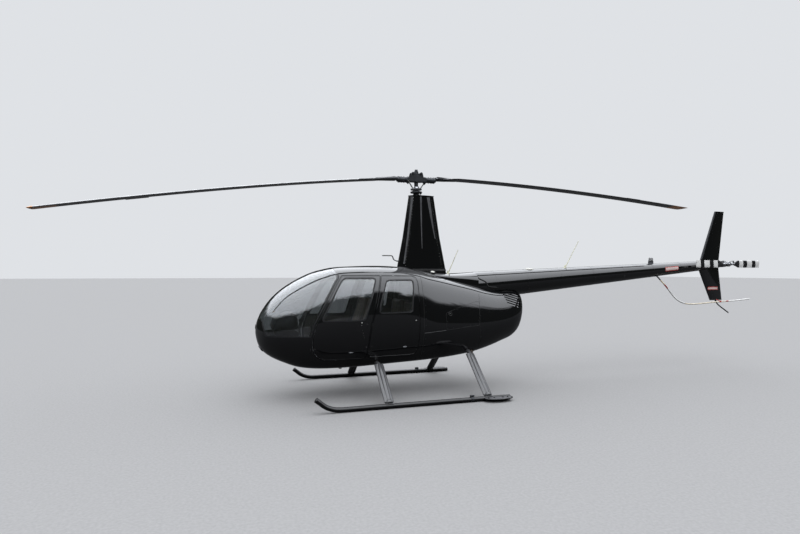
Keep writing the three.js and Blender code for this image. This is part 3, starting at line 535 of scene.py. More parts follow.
# Body: keel and crown heights, and the bilge, waist and eave points of the left half
bodySections = [
    [2333, 860, 40, 872, 70, 925, 50, 975, 995],
    [2300, 735, 110, 765, 165, 900, 115, 1045, 1105],
    [2235, 640, 185, 685, 275, 880, 190, 1130, 1225],
    [2130, 565, 250, 615, 378, 875, 270, 1245, 1365],
    [1980, 497, 310, 550, 470, 870, 340, 1370, 1500],
    [1790, 433, 360, 487, 545, 870, 400, 1475, 1620],
    [1570, 406, 400, 460, 592, 875, 450, 1575, 1722],
    [1300, 400, 430, 456, 622, 880, 487, 1660, 1790],
    [980, 408, 445, 464, 633, 885, 503, 1685, 1812],
    [600, 425, 445, 480, 633, 890, 505, 1685, 1820],
    [300, 438, 440, 492, 631, 895, 498, 1672, 1805],
    [105, 446, 436, 500, 625, 900, 470, 1655, 1772],
    [-90, 456, 430, 510, 624, 905, 435, 1615, 1710],
    [-400, 478, 410, 532, 592, 915, 400, 1550, 1640],
    [-760, 518, 375, 575, 535, 930, 355, 1475, 1560],
    [-1060, 582, 330, 640, 478, 955, 320, 1405, 1490],
    [-1300, 655, 290, 712, 425, 990, 285, 1375, 1450],
    [-1480, 715, 250, 770, 375, 1030, 262, 1375, 1450],
    [-1610, 815, 205, 862, 310, 1090, 225, 1370, 1445],
    [-1700, 1010, 130, 1035, 195, 1170, 140, 1345, 1405],
]
noseTip = [2338, 915, 4, 917, 7, 925, 5, 931, 933]
pastNose = [2333, 990, -40, 978, -70, 925, -50, 875, 855]
tailLip = [-1716, 1052, 95, 1072, 150, 1172, 108, 1310, 1362]
bodyShape = {  # glass holds the insets of its two faces
    "wall": 28, "glass": (3, 8), "sill": 870, "firewall": 105, "doorGap": 6.5, "postHalf": 27,
    "perSpan": 6, "ringSpan": 12,
}


def bodySolid(inset, tips=False):
    if tips:
        rows = curveThrough([noseTip, *bodySections, tailLip], bodyShape["perSpan"], before=pastNose)
    else:
        rows = curveThrough(bodySections, bodyShape["perSpan"])
        rows[0, 0] -= inset
        rows[-1, 0] += inset
    rings = []
    for x, keel, bilgeY, bilgeZ, waistY, waistZ, eaveY, eaveZ, crown in rows:
        half = [(bilgeY - 0.7 * inset, bilgeZ + 0.75 * inset), (waistY - inset, waistZ),
                (eaveY - 0.75 * inset, eaveZ - 0.65 * inset)]
        points = [(x, 0, keel + inset), *((x, y, z) for y, z in half), (x, 0, crown - inset),
                  *((x, -y, z) for y, z in reversed(half))]
        rings.append(curveThrough(points, bodyShape["ringSpan"], closed=True))
    return loft(rings)


class Skin:  # the surface that small pieces are set on, with the smooth normals of the polished skins
    def __init__(self, part):
        points, self.faces = outward(part)
        mesh = bpy.data.meshes.new("skin")
        mesh.from_pydata(points.tolist(), [], self.faces)
        self.normals = [v.normal.copy() for v in mesh.vertices]
        self.points = [Vector(p) for p in points]
        self.tree = BVHTree.FromPolygons(self.points, self.faces)
        bpy.data.meshes.remove(mesh)

    def near(self, point):  # nearest point, smooth normal there, and distance
        place, normal, index, distance = self.tree.find_nearest(Vector(point))
        face = self.faces[index]
        if len(face) <= 4:
            weights = poly_3d_calc([self.points[i] for i in face], place)
            normal = sum((self.normals[i] * w for i, w in zip(face, weights)), Vector()).normalized()
        return np.array(place), np.array(normal), distance

    def hit(self, origin, direction):
        place = self.tree.ray_cast(Vector(origin), Vector(direction))[0]
        return self.near(place)[:2] if place else None

    def side(self, x, z):  # the point on the left side at a place in the side view
        return self.hit((x, 1500, z), minusY) or self.near((x, 300, z))[:2]

    def run(self, outline):
        return [self.side(x, z) for x, z in outline]

    def along(self, outline, lift, spacing=16, closed=False):  # a side outline laid on the left side
        found = self.run(resampled(outline, spacing, closed))
        return np.array([p + n * lift for p, n in found]), np.array([n for p, n in found])


def polish(obj, *skins):  # gives the cut panel the smooth normals of the skin that it was cut from
    mesh, normals = obj.data, [None] * len(obj.data.loops)
    mesh.shade_smooth()
    found = []
    for v in mesh.vertices:
        options = [skin.near((v.co - Vector((mastX, 0, 0))) / mm) for skin in skins]
        found.append({k: normal for k, (place, normal, distance) in enumerate(options) if distance < 0.25})
    for poly in mesh.polygons:
        flat, chosen = np.array(poly.normal), None
        for k in range(len(skins)):
            picks = [found[i].get(k) for i in poly.vertices]
            if all(p is not None and abs(p.dot(flat)) > 0.8 for p in picks):
                chosen = [p if p.dot(flat) > 0 else -p for p in picks]
                poly.material_index = min(k, max(0, len(mesh.materials) - 1))
                break
        for n, loop in enumerate(poly.loop_indices):
            normals[loop] = tuple(chosen[n] if chosen else flat)
    mesh.normals_split_custom_set(normals)


skinSolid, innerSolid = bodySolid(0, True), bodySolid(bodyShape["wall"])
bodySkin, innerSkin = Skin(skinSolid), Skin(innerSolid)
shell = carve(meshObject("shell", skinSolid), "DIFFERENCE", innerSolid)
glassSolids = [bodySolid(inset) for inset in bodyShape["glass"]]
glassShell = carve(meshObject("glassShell", glassSolids[0]), "DIFFERENCE", glassSolids[1])
glassSkins = [Skin(solid) for solid in glassSolids]
print("body skins ready")

# Openings of the cabin, as side outlines of [x, z] points
postLine = [(1277, 1655), (1343, 1560), (1410, 1440), (1516, 1230), (1618, 1035), (1662, 870)]
sill, firewallX, gap = bodyShape["sill"], bodyShape["firewall"], 0.3
windshieldOutline = [
    *[(x + 30, z) for x, z in postLine], (1692, sill + 12), (2215, sill + 12), (2240, 960), (2262, 1085),
    (2420, 1085), (2420, 2000), (1307, 2000),
]
doors = {  # hinges are heights, and the leaf shift is how far ahead of the pin the moving leaf sits
    "front": {
        "outline": [
            *[(x - 24, z) for x, z in postLine[:5]], (1632, 870), (1638, 760), (1610, 645), (1530, 576),
            (1440, 556), (960, 556), (925, 574), (915, 620), (880, 950), (842, 1120), (760, 1450),
            (712, 1680), (1240, 1680),
        ],
        "window": [
            (1222, 1650), (1283, 1562), (1350, 1440), (1455, 1230), (1535, 1078),
            (945, 1078), (902, 1219), (819, 1488), (770, 1650),
        ],
        "hinges": (1000, 690), "leafShift": -42, "handle": (1132, 650), "latch": (996, 1051),
        "latchPins": [(997, 1018), (995, 984), (980, 917), (958, 848)], "cardFoot": 600, "armrest": 1240,
    },
    "rear": {
        "outline": [
            (692, 1678), (740, 1450), (822, 1120), (860, 950), (895, 620), (880, 586), (840, 572),
            (250, 578), (200, 600), (178, 660), (170, 900), (168, 1600), (190, 1655), (240, 1675),
        ],
        "window": [
            (632, 1622), (672, 1500), (742, 1250), (752, 1190), (720, 1172),
            (300, 1178), (272, 1205), (232, 1590), (255, 1622),
        ],
        "hinges": (1010, 700), "leafShift": -60, "handle": (372, 700), "latch": (226, 1062),
        "latchPins": [], "cardFoot": 615, "armrest": 520,
    },
}
sides = {"left": lambda part: part, "right": mirrored}
doorHoles = []
for place, spec in doors.items():
    spec["cut"] = rounded(spec["outline"], [14 if z > 1500 else 45 for x, z in spec["outline"]])
    spec["pane"] = rounded(spec["window"], 55)
    spec["bodies"] = [f"{side}_{place}_door" for side in sides]
    hole = prism(offsetOutline(spec["cut"], bodyShape["doorGap"]), 100, far)
    doorHoles += [hole, mirrored(hole)]
windshieldCut = rounded(windshieldOutline, 40)


def panel(name, body, cadNode, keep, cuts):
    obj = carve(carve(copied(shell, name), "INTERSECT", keep), "DIFFERENCE", *cuts)
    for material in (blackPaint, liner):
        obj.data.materials.append(material)
    polish(obj, bodySkin, innerSkin)
    finished(obj, blackPaint, body, cadNode, None)


def pane(name, body, cadNode, cut):
    obj = carve(copied(glassShell, name), "INTERSECT", cut)
    polish(obj, *glassSkins)
    finished(obj, glass, body, cadNode, None)


for place, spec in doors.items():
    for (side, flip), body in zip(sides.items(), spec["bodies"]):
        panel(f"{place}DoorSkin_{side}", body, f"{place}_door_{side}",
              flip(prism(spec["cut"], 200, far)), [flip(prism(spec["pane"], 200, far))])
        pane(f"{place}DoorPane_{side}", body, f"{place}_window_{side}",
             flip(prism(offsetOutline(spec["pane"], -0.4), 200, far)))
for side, flip in sides.items():
    pane(f"windshieldPane_{side}", "airframe", f"windshield_{side}",
         flip(prism(offsetOutline(windshieldCut, -0.4), bodyShape["postHalf"] + 0.4, far)))
legsAt = {"front": (746, 478), "rear": (-645, 575)}  # where the cross tubes run through the hull: x and height
legHoles = [rod((x, -700, z), (x, 700, z), 31, 24) for x, z in legsAt.values()]
screenHoles = [flip(prism(windshieldCut, bodyShape["postHalf"], far)) for flip in sides.values()]
panel("lowerHullSkin", "airframe", "lower_hull", block(firewallX, 3000, 0, sill), doorHoles + legHoles)
panel("cabinFrameSkin", "airframe", "cabin_frame", block(firewallX, 3000, sill, 2400), doorHoles + screenHoles)
print("cabin panels ready")

# Engine cowl with its round fan opening, side louvres and the dark slot under the tail cone
cowlShape = {
    "fanOpening": 262, "louvre": [(-1306, 1392), (-1352, 1240), (-1588, 1170), (-1600, 1392)],
    "slats": {"count": 9, "top": 1440, "foot": 1150, "slope": 0.3, "middle": -1453},
    "notch": [(-925, 1668), (-954, 1630), (-1056, 1576), (-1090, 1514), (-1245, 1490)],
    "vent": (-305, 1138), "door": [(-236, 1150), (-475, 1226), (-749, 1294), (-826, 1302), (-792, 959), (-245, 913)],
}
coneEnds = {"x": (-930, -5420), "radius": (222, 86), "z": (1508, 1836)}


def between(pairOfEnds, t):
    return pairOfEnds[0] + (pairOfEnds[1] - pairOfEnds[0]) * t


def coneAt(t, turn, extra=0.0):
    x, r, z = (between(coneEnds[key], t) for key in ("x", "radius", "z"))
    return np.array([x, (r + extra) * math.cos(turn), z + (r + extra) * math.sin(turn)])


def coneSolid(extra=0.0):
    turns = [fullTurn * k / 72 for k in range(72)]
    return loft([[coneAt(t, a, extra) for a in turns] for t in np.linspace(0, 1, 40)])


fanHole = lathed([(cowlShape["fanOpening"], 0), (cowlShape["fanOpening"], 500)], (-2000, 0, fanZ), xAxis, 72)
louvreCut = prism(rounded(cowlShape["louvre"], 22), 100, far)
exhaustRun = curveThrough([(-712, 330, 740), (-722, 340, 650), (-734, 350, 560), (-750, 355, 462)], 6)
panel("engineCowlSkin", "airframe", "engine_cowl", block(-3000, firewallX - gap, 0, 2400),
      [*legHoles, fanHole, louvreCut, mirrored(louvreCut), coneSolid(0.3), tube(exhaustRun, 40, 24)])
slats, slatRings = cowlShape["slats"], []
for z0 in np.linspace(slats["top"], slats["foot"], slats["count"]):
    rings = []
    for x in np.linspace(-1590, -1316, 12):
        place, normal = bodySkin.side(x, z0 + slats["slope"] * (x - slats["middle"]))
        rings.append([place + normal * [0.2 * a, a, 0.2 * a] + [0, 0, b]
                      for a, b in ((-1.5, -9), (-4.5, -11), (-17, 4), (-13, 6))])
    slatRings.append(loft(rings))
slatObject = meshObject("cowlLouvres_left", slatRings)
carve(slatObject, "INTERSECT", prism(rounded(offsetOutline(cowlShape["louvre"], -0.5), 22), 100, far))
finished(slatObject, blackPaint)
finished(mirroredObject(slatObject, "cowlLouvres_right"), blackPaint)
# A dark rubber sheet behind the louvre openings is painted shade, standing in for the shaded engine bay behind them
louvreShadeSheet = carve(meshObject("cowlLouvreBacking", bodySolid(34)), "DIFFERENCE", bodySolid(38))
louvreShadeSheetCut = prism(rounded(offsetOutline(cowlShape["louvre"], 10), 30), 60, far)
carve(louvreShadeSheet, "INTERSECT", [louvreShadeSheetCut, mirrored(louvreShadeSheetCut)])
finished(louvreShadeSheet, rubber)


# Seams, beads and fasteners that follow the skin of the left side, with a copy on the right
def seam(outline, radius, lift=-0.4):
    return tube(bodySkin.along(outline, lift)[0], radius, 8)


def fastenersAlong(outline, spacing, closed=False, radius=4.2, height=1.2):
    return scattered(rivetHead(radius, height), *bodySkin.along(outline, 0, spacing, closed))


cowlDoor = rounded(cowlShape["door"], 26)
pair("cowlSeam", [
    seam([(firewallX - 2, 1700), (firewallX - 2, 470)], 2.2),
    seam([(-846, 1400), (-840, 1361), (-809, 1175), (-800, 959), (-835, 700), (-850, 600)], 1.8),
    seam(ringOf(cowlDoor), 1.8), seam([(100, 885), (-73, 900), (-245, 913)], 1.8),
], rubber)
pair("cowlFastener", [
    fastenersAlong([(75, 1640), (75, 520)], 95), fastenersAlong(offsetOutline(cowlDoor, -16), 92, True),
    fastenersAlong([(-862, 1400), (-826, 1175), (-818, 959), (-855, 680)], 104),
], darkMetal)
pair("cowlCrease", seam([(92, 880), (-73, 895), (-232, 907)], 2.4, 0.6), blackPaint)
ventPlace, ventNormal = bodySkin.side(*cowlShape["vent"])
pair("cowlVent", lathed([(30, -6), (30, 3), (26, 5), (22, 3), (20, -12)], ventPlace, ventNormal), rubber)
pair("cowlVentScrew", lathed([(5, -2), (7, 4), (5, 7)], ventPlace + ventNormal * 2, ventNormal, 16), steelBright)

# Spine fairing behind the mast: x, half width, side top height, crown height, and foot height
spineSections = [
    (420, 180, 1700, 1790, 1600), (250, 250, 1735, 1806, 1600), (60, 262, 1705, 1775, 1560),
    (-200, 252, 1670, 1735, 1500), (-480, 240, 1640, 1710, 1420), (-760, 234, 1610, 1718, 1380),
    (-929.5, 226, 1580, 1728, 1330),
]
spineRings = []
for x, half, sideZ, crown, foot in curveThrough(spineSections, 8):
    arch = [(x, half * math.cos(a), sideZ + (crown - sideZ) * math.sin(a)) for a in np.linspace(0, math.pi, 33)]
    spineRings.append([*arch, (x, -half, foot), (x, half, foot)])
spineSolid = loft(spineRings)
spine = carve(meshObject("spineFairingSkin", spineSolid), "DIFFERENCE", skinSolid)
finished(spine, blackPaint, "airframe", "spine_fairing", 30)
notchPath = []
for x, z in curveThrough(cowlShape["notch"], 8):
    t = (x - coneEnds["x"][0]) / (coneEnds["x"][1] - coneEnds["x"][0])
    level = (z - between(coneEnds["z"], t)) / between(coneEnds["radius"], t)
    notchPath.append(coneAt(max(t, 0), math.asin(max(-0.95, min(0.95, level))), 0.5))
# The thick black tube along the notch is painted shadow, standing in for the deep shaded gap between the spine fairing
# and the tail cone
pair("coneNotchSeam", tube(notchPath, 10, 10), rubber)
capFoot, capTop = np.array([-187, 193, 1693.0]), np.array([-187, 207, 1731.0])
capRun = unit(capTop - capFoot)
pair("fuelCapNeck", lathed([(44, -30), (44, -3), (42, 0), (31, 1)], capTop, capRun, 40), blackPaint)
pair("fuelCap", [
    lathed([(29, -2), (29, 5), (26, 8), (8, 9)], capTop, capRun, 28),
    roundBox(capTop + [-22, -4, 6], capTop + [22, 4, 12], 2.5),
], whitePaint)

# Mast fairing: height, front and rear of the foil, and its half width
mastShape = {
    "sections": [(1640, 330, -470, 150), (2250, 212, -350, 128), (2872, 118, -256, 106)], "rows": 45,
    "beads": (0.16, 0.4, 0.62, 0.84), "beadHeight": 3.0, "beadWidth": 0.012, "top": 2872,
}


def mastAt(z):
    return [float(np.interp(z, *zip(*[(row[0], row[k]) for row in mastShape["sections"]]))) for k in (1, 2, 3)]


def mastRing(z, grow=0.0, lift=0.0, count=96):
    (front, rear, half), ring = mastAt(z), []
    for k in range(count):
        angle = fullTurn * k / count
        along = (1 - math.cos(angle)) / 2
        blunt = min(1, math.sqrt(along) * (1 - 0.72 * along) * 1.9)
        bead = sum(math.exp(-((along - a) / mastShape["beadWidth"]) ** 2) for a in mastShape["beads"])
        y = (half + grow) * blunt + mastShape["beadHeight"] * bead
        side = 0 if k == 0 else 1 if math.sin(angle) >= 0 else -1
        ring.append((front + grow + (rear - front - 2 * grow) * along, side * y, z + lift))
    return ring


mastSolid = loft([mastRing(z) for z in np.linspace(1640, mastShape["top"], mastShape["rows"])])
mast = meshObject("mastFairingSkin", mastSolid)
carve(mast, "DIFFERENCE", skinSolid, spineSolid, lathed([(62, 0), (62, 200)], (0, 0, 2790), sides=40))
finished(mast, blackPaint, "airframe", "mast_fairing", 42)
mastSkin = Skin(mastSolid)
mastRivets = []
for along, z0, z1 in ((0.1, 1790, 2850), (0.93, 1760, 2850)):
    for z in np.arange(z0, z1, 42):
        front, rear, half = mastAt(z)
        mastRivets.append(mastSkin.near((front + (rear - front) * along, half, z))[:2])
pair("mastRivet", scattered(rivetHead(4, 1.4), *zip(*mastRivets)), steelBright)
piece("mastTopRim", loft([mastRing(mastShape["top"], grow, lift)
                          for lift, grow in ((-9, 0), (-9, 4), (4, 4), (4, -8), (-3, -8))]), blackPaint)
piece("mastFootSeal", loft([mastRing(z, grow) for z, grow in ((1745, 0.5), (1745, 7), (1772, 5), (1776, 0.5))]), rubber)
pitotRun = [(225, 1893), (300, 1893), (352, 1915), (379, 1967), (440, 1972), (520, 1972)]
piece("pitotTube", [
    tube(curveThrough([(x, 0, z) for x, z in pitotRun], 6), 8, 14),
    lathed([(13, 0), (11, 30), (8, 60)], (255, 0, 1893), xAxis, 20), ball((520, 0, 1972), (14, 8.5, 8.5)),
], blackPaint)

# Skids and cross tubes
gear = {
    "track": 1092, "tube": 31.5, "aft": -960, "leg": 30, "chord": 128, "thick": 50, "spurX": -405,
    "toe": [(1290, 31.5), (1330, 31.5), (1450, 40), (1560, 80), (1640, 140), (1682, 172)],
    "plate": {"x": -765, "length": 420, "width": 200, "z": 42, "out": 60},
    "knees": {"front": (560, 492), "rear": (490, 566)},
}
skidY, skidR, skidAft, spurX = gear["track"], gear["tube"], gear["aft"], gear["spurX"]
toe = curveThrough([(x, skidY, z) for x, z in gear["toe"]], 6)
straight = [(x, skidY, skidR) for x in (skidAft, -500, 0, 500, 1000)]
pair("skidTube", [
    tube([*straight, *toe], skidR, 32),
    lathed([(skidR, 0), (skidR + 1.5, -3), (skidR, -8), (skidR - 10, -11)], (skidAft + 2, skidY, skidR), xAxis),
    lathed([(skidR - 1, -2), (skidR, 3), (skidR - 8, 7), (4, 8)], toe[-1], toe[-1] - toe[-2], 24),
    *[roundBox((x0, skidY - 15, 0.6), (x1, skidY + 15, 8), 3) for x0, x1 in ((-930, -560), (-120, 260), (500, 1180))],
    *[bolt((x, skidY + 62, 48), zAxis, 11) for x in (-900, -830, -700, -620)],
], gearPaint, replaces=("skid_left", "skid_right"))


def ovalPlate(profile):  # a lathed plate stretched to the oval of the round plates
    points, faces = lathed(profile, sides=56)
    plate = gear["plate"]
    return points * [plate["length"] / 2, plate["width"] / 2, 1] + [plate["x"], skidY + plate["out"], plate["z"]], faces


pair("skidPlate", ovalPlate([(0.97, -4), (0.97, 4), (0.9, 5), (0.86, 3), (0.5, 3)]), platePaint)
pair("skidPlateRim", ovalPlate([(1, -5), (1, 5), (0.985, 7), (0.93, 7), (0.93, 1), (0.93, -5)]), gearPaint)
pair("wheelSpur", [
    roundBox((spurX - 30, skidY - 12, 34), (spurX + 30, skidY + 12, 92), 6),
    rod((spurX, skidY - 18, 76), (spurX, skidY + 18, 76), 11),
    lathed([(34, -20), (36, -18), (36, 18), (34, 20)], (spurX, skidY, 36.3), xAxis),
    bolt((spurX, skidY + 18, 76), yAxis, 8), bolt((spurX, skidY - 18, 76), minusY, 8),
], darkMetal)


def legFairing(x, kneeY, kneeZ, side):
    chord, rings = gear["chord"], []
    for t in np.linspace(0, 1, 10):
        y, z = between((1070, kneeY + 25), t), between((74, kneeZ - 20), t)
        ring = []
        for k in range(40):
            angle = fullTurn * k / 40
            dx = chord / 2 * math.cos(angle)
            spread = gear["thick"] / 2 * math.sin(angle) * (1 - 0.45 * max(0, -2 * dx / chord))
            ring.append((x + dx, side * (y + spread * 0.75), z + spread * 0.66))
        rings.append(ring)
    return loft(rings)


for name, (kneeY, kneeZ) in gear["knees"].items():
    x, levelZ = legsAt[name]
    arc = [(1080, 74), (kneeY + 40, kneeZ - 30), (kneeY - 50, levelZ), (0, levelZ)]
    points = [(x, y, z) for y, z in arc] + [(x, -y, z) for y, z in arc[2::-1]]
    parts = [tube(curveThrough(points, 10), gear["leg"], 24)]
    for side in (1, -1):
        foot, run = np.array([x, side * 1080, 74]), unit([0, side * (kneeY - 1070), kneeZ - 94])
        parts += [
            legFairing(x, kneeY, kneeZ, side), lathed([(36, 0), (40, 8), (40, 30), (35, 40)], foot - run * 14, run, 28),
            roundBox((x - 52, side * skidY - 26, 56), (x + 52, side * skidY + 26, 67), 4),
            *[bolt((x + dx, side * skidY, 67), zAxis, 9) for dx in (-40, 40)],
        ]
    piece(f"{name}CrossTube", parts, legPaintedSheen, replaces=f"{name}_cross_tube")
print("skids ready")

# Tail cone with its lap seams, rivets and puck
tail = carve(meshObject("tailConeSkin", coneSolid()), "DIFFERENCE", skinSolid)
finished(tail, blackPaint, "airframe", "tail_cone", 30)


def coneRivetsAt(stations, turns, lift):
    return [(coneAt(t, a, lift), (0.03, math.cos(a), math.sin(a))) for a in turns for t in stations]


laps, coneRivets = [], []
for t in (0.075, 0.2, 0.34, 0.48, 0.62, 0.76, 0.9):
    laps.append(loft([[coneAt(t + s, a, lift) for a in np.linspace(0, fullTurn, 73)[:-1]]
                      for s, lift in ((-0.0045, -0.5), (-0.0045, 0.9), (0.0045, 0.9), (0.0045, -0.5))]))
    coneRivets += coneRivetsAt((t - 0.0022, t + 0.0022), np.linspace(0, fullTurn, 33)[:-1], 0.8)
for t in np.linspace(0.09, 0.98, 70):
    coneRivets += coneRivetsAt((t,), np.radians((-62, 242)), -0.2)
piece("coneLapBand", laps, blackPaint, angle=30)
piece("coneRivet", scattered(rivetHead(3.2, 1.0), *zip(*coneRivets)), blackPaint)
puck = {"profile": [(64, -6), (64, 6), (56, 16), (30, 21), (1, 22)], "at": (-1942, 0, 1771), "stands": (-0.07, 0, 1)}
piece("conePuck", lathed(*puck.values(), 40), whitePaint)


# Foils: chord line from the leading edge to the trailing edge, and the full thickness
def foilRing(lead, trail, thick, place, count=40, tail=0.6):
    ring = []
    for k in range(count):
        angle = fullTurn * k / count
        along = (1 - math.cos(angle)) / 2
        half = thick / 2 * 2.6 * math.sqrt(along) * (1 - along) + tail * along
        ring.append(place(lead + (trail - lead) * along, half * (1 if math.sin(angle) >= 0 else -1) * (k != 0)))
    return ring


def eased(r, start, end):
    w = min(1, max(0, (r - start) / (end - start)))
    return w * w * (3 - 2 * w)


# Main rotor blades: cuff and full section; droop and the teetered hub give each blade its height
rotor = {
    "radius": 5030, "root": 310.3, "cuff": (430, 640), "chord": (122, 254), "lead": (61, 75), "thick": (56, 30),
    "droop": 453, "power": 1.49, "teeter": 0.0347,
    "tab": [(3700, -176, 1.4), (3980, -176, 1.4), (3980, -206, -3), (3700, -206, -3)],
    "doublers": ((330, 640, 34, 28), (340, 560, 46, 26)),
}


def bladePoint(r, c, sign, lift=0.0):
    drop = rotor["droop"] * (r / rotor["radius"]) ** rotor["power"] + sign * rotor["teeter"] * r
    return np.array([sign * r, sign * c, hubZ - drop + lift])


def bladeRing(r, sign, shrink=1.0):
    w = eased(r, *rotor["cuff"])
    chord, lead, thick = (between(rotor[key], w) for key in ("chord", "lead", "thick"))
    middle, reach = lead - chord / 2, chord / 2 * (0.9 + 0.1 * shrink)
    return foilRing(middle + reach, middle - reach, thick * shrink, lambda c, t: bladePoint(r, c, sign, t), 48)


for name, sign in (("front", 1), ("rear", -1)):
    rings = [bladeRing(r, sign) for r in (*np.linspace(rotor["root"], 700, 14), *np.linspace(800, 4960, 40))]
    rings += [bladeRing(rotor["radius"] - 70 * (1 - s), sign, math.sqrt(max(0.02, 1 - s * s)))
              for s in (0.3, 0.6, 0.8, 0.92, 1)]
    parts = [loft(rings), loft([[bladePoint(r, c, sign, z + dz) for r, c, z in rotor["tab"]] for dz in (-0.8, 0.8)])]
    for r0, r1, half, lift in rotor["doublers"]:
        outline = rounded([(r0, half), (r1, half / 2), (r1, -half / 2), (r0, -half)], 24)
        parts += [loft([[bladePoint(r, c, sign, up * (lift - (r - r0) * 0.034) + z) for r, c in outline]
                        for z in (-2, 3)]) for up in (1, -1)]
    piece(f"rotorBlade_{name}", parts, rotorPaint, "main_rotor", f"main_blade_{name}", 30)
    wraps = []
    for r in np.linspace(900, 4960, 38):
        ring = bladeRing(r, sign)
        nose = ring[-5:] + ring[:6]
        middle = sum(nose) / len(nose)
        wraps.append([p + unit(p - middle) * 0.7 for p in nose] + [middle + (p - middle) * 0.9 for p in nose[::-1]])
    piece(f"bladeEdgeStrip_{name}", loft(wraps), edgeSteel, "main_rotor", angle=30)

# Rotor hub and its controls; heights are measured from the hub joint
hub = {"gripZ": -24, "swashZ": -165, "boltX": 66, "boltZ": 68}
yokeSide = [(-150, -52), (-150, 2), (-90, 12), (90, 12), (150, 2), (150, -52), (70, -58), (-70, -58)]
cheekSide = [(-104, 8), (-92, 62), (-80, 88), (-52, 88), (-38, 62), (38, 62), (52, 88), (80, 88), (92, 62), (104, 8)]
yoke, cheek = ([(x, z + hubZ) for x, z in rounded(outline, r)] for outline, r in ((yokeSide, 14), (cheekSide, 12)))
grip = [(30, 118), (47, 122), (47, 150), (42, 160), (42, 250), (45, 254), (45, 272), (38, 276), (36, 300), (30, 310)]
boot = [(20, 98), *[(40 + 4 * (k % 2), 100 + 4 * k) for k in range(7)], (20, 126)]
horn = rounded([(120, 20), (196, 20), (190, 62), (168, 100), (146, 100), (132, 60)], 14)
hubParts = [
    prism(offsetOutline(yoke, -3), -52, 52), prism(yoke, -48, 48), *[prism(cheek, s * 34, s * 50) for s in (1, -1)],
    lathed([(24, -262), (24, -120), (30, -112), (30, -60), (24, -52), (24, 10)], (0, 0, hubZ)),
    lathed([(40, 8), (42, 30), (36, 60), (34, 96), (30, 99), (30, 108), (24, 112), (22, 130), (16, 132)],
           (0, 0, hubZ), sides=36),
]
links, swashZ = [], hubZ + hub["swashZ"]
for s in (1, -1):
    x, z, gripZ = s * hub["boltX"], hub["boltZ"] + hubZ, hub["gripZ"] - s * 4 + hubZ
    hubParts += [
        rod((x, -62, z), (x, 62, z), 13, 20), bolt((x, 50, z), yAxis, 21), bolt((x, -50, z), minusY, 21),
        lathed(grip, (0, 0, gripZ), (s, 0, 0), 36), lathed(boot, (0, 0, gripZ), (s, 0, 0)),
        bolt((s * 132, 0, hubZ - 60), minusZ, 22, 30), bolt((s * 132, 0, hubZ + 4), zAxis, 20),
        loft([[(s * x, s * y, hubZ + z) for x, y in horn] for z in (-45, -18)]),
        lathed([(17, -24), (17, 8), (12, 12)], (s * 156, s * 84, hubZ - 30), sides=20),
    ]
    for x in (196, 236, 284):
        hubParts += [bolt((s * x, 0, gripZ + 40), zAxis, 9), bolt((s * x, 0, gripZ - 40), minusZ, 9)]
    low, high = np.array([s * 70, s * 56, swashZ]), np.array([s * 156, s * 84, hubZ - 52])
    run = unit(high - low)
    links += [tube([low, high], 6.5, 16), tube([low + run * 34, high - run * 30], 9.5, 6),
              lathed([(11, 24), (11, 30)], low, run, 6), lathed([(11, -30), (11, -24)], high, run, 6)]
    for end in (low, high):
        links += [ball(end, (13, 13, 13), 10, 18), rod(end - [0, 16, 0], end + [0, 16, 0], 6.5),
                  bolt(end + [0, s * 15, 0], (0, s, 0), 9)]
links += [bolt((60 * math.cos(a), 60 * math.sin(a), swashZ + 13), zAxis, 8) for a in (0.6, 2.7, 4.8)]
swashRing = [(50, -12), (82, -12), (84, -8), (84, 8), (80, 12), (54, 13), (50, 18), (40, 40), (34, 44), (20, 44)]
piece("rotorHub", hubParts, darkMetal, "main_rotor", "main_rotor_hub", 35)
piece("pitchLinks", links, steelBright, "main_rotor")
piece("swashplateTurning", [
    lathed(swashRing, (0, 0, swashZ), sides=48),
    *[roundBox((s * 60 - 16, s * 44 - 14, swashZ - 10), (s * 60 + 22, s * 44 + 20, swashZ + 10), 4) for s in (1, -1)],
], bareMetal, "main_rotor")
fixedStays = []
for a in (0.59, 2.55, 4.71):
    out = np.array([math.cos(a), math.sin(a), 0])
    top, foot = out * 76 + [0, 0, 2925], out * 52 + [0, 0, 2872.5]
    fixedStays += [tube([foot, top], 7, 14), ball(top, (12, 12, 12)), roundBox(top - [14, 14, 8], top + [14, 14, 8], 4),
                   lathed([(10, -26), (10, -14), (12, -12), (12, -4)], top, zAxis, 6), bolt(top + [0, 0, 8], zAxis, 9)]
piece("mastTubeFixed", [
    lathed([(33, 2861), (45, 2861), (45, 2950), (33, 2950), (33, 2861)], sides=40),
    lathed([(46, 2913), (84, 2915), (88, 2919), (88, 2934), (84, 2938), (46, 2940)], sides=48), *fixedStays,
], darkMetal, replaces="mast_tube")
pocketBoot = [(61 - 3 * (k % 2), 2800 + 8 * k) for k in range(9)]
piece("mastPocketBoot", lathed([(30, 2800), *pocketBoot, (34, 2872), (30, 2880)], sides=40), rubber)
print("main rotor ready")

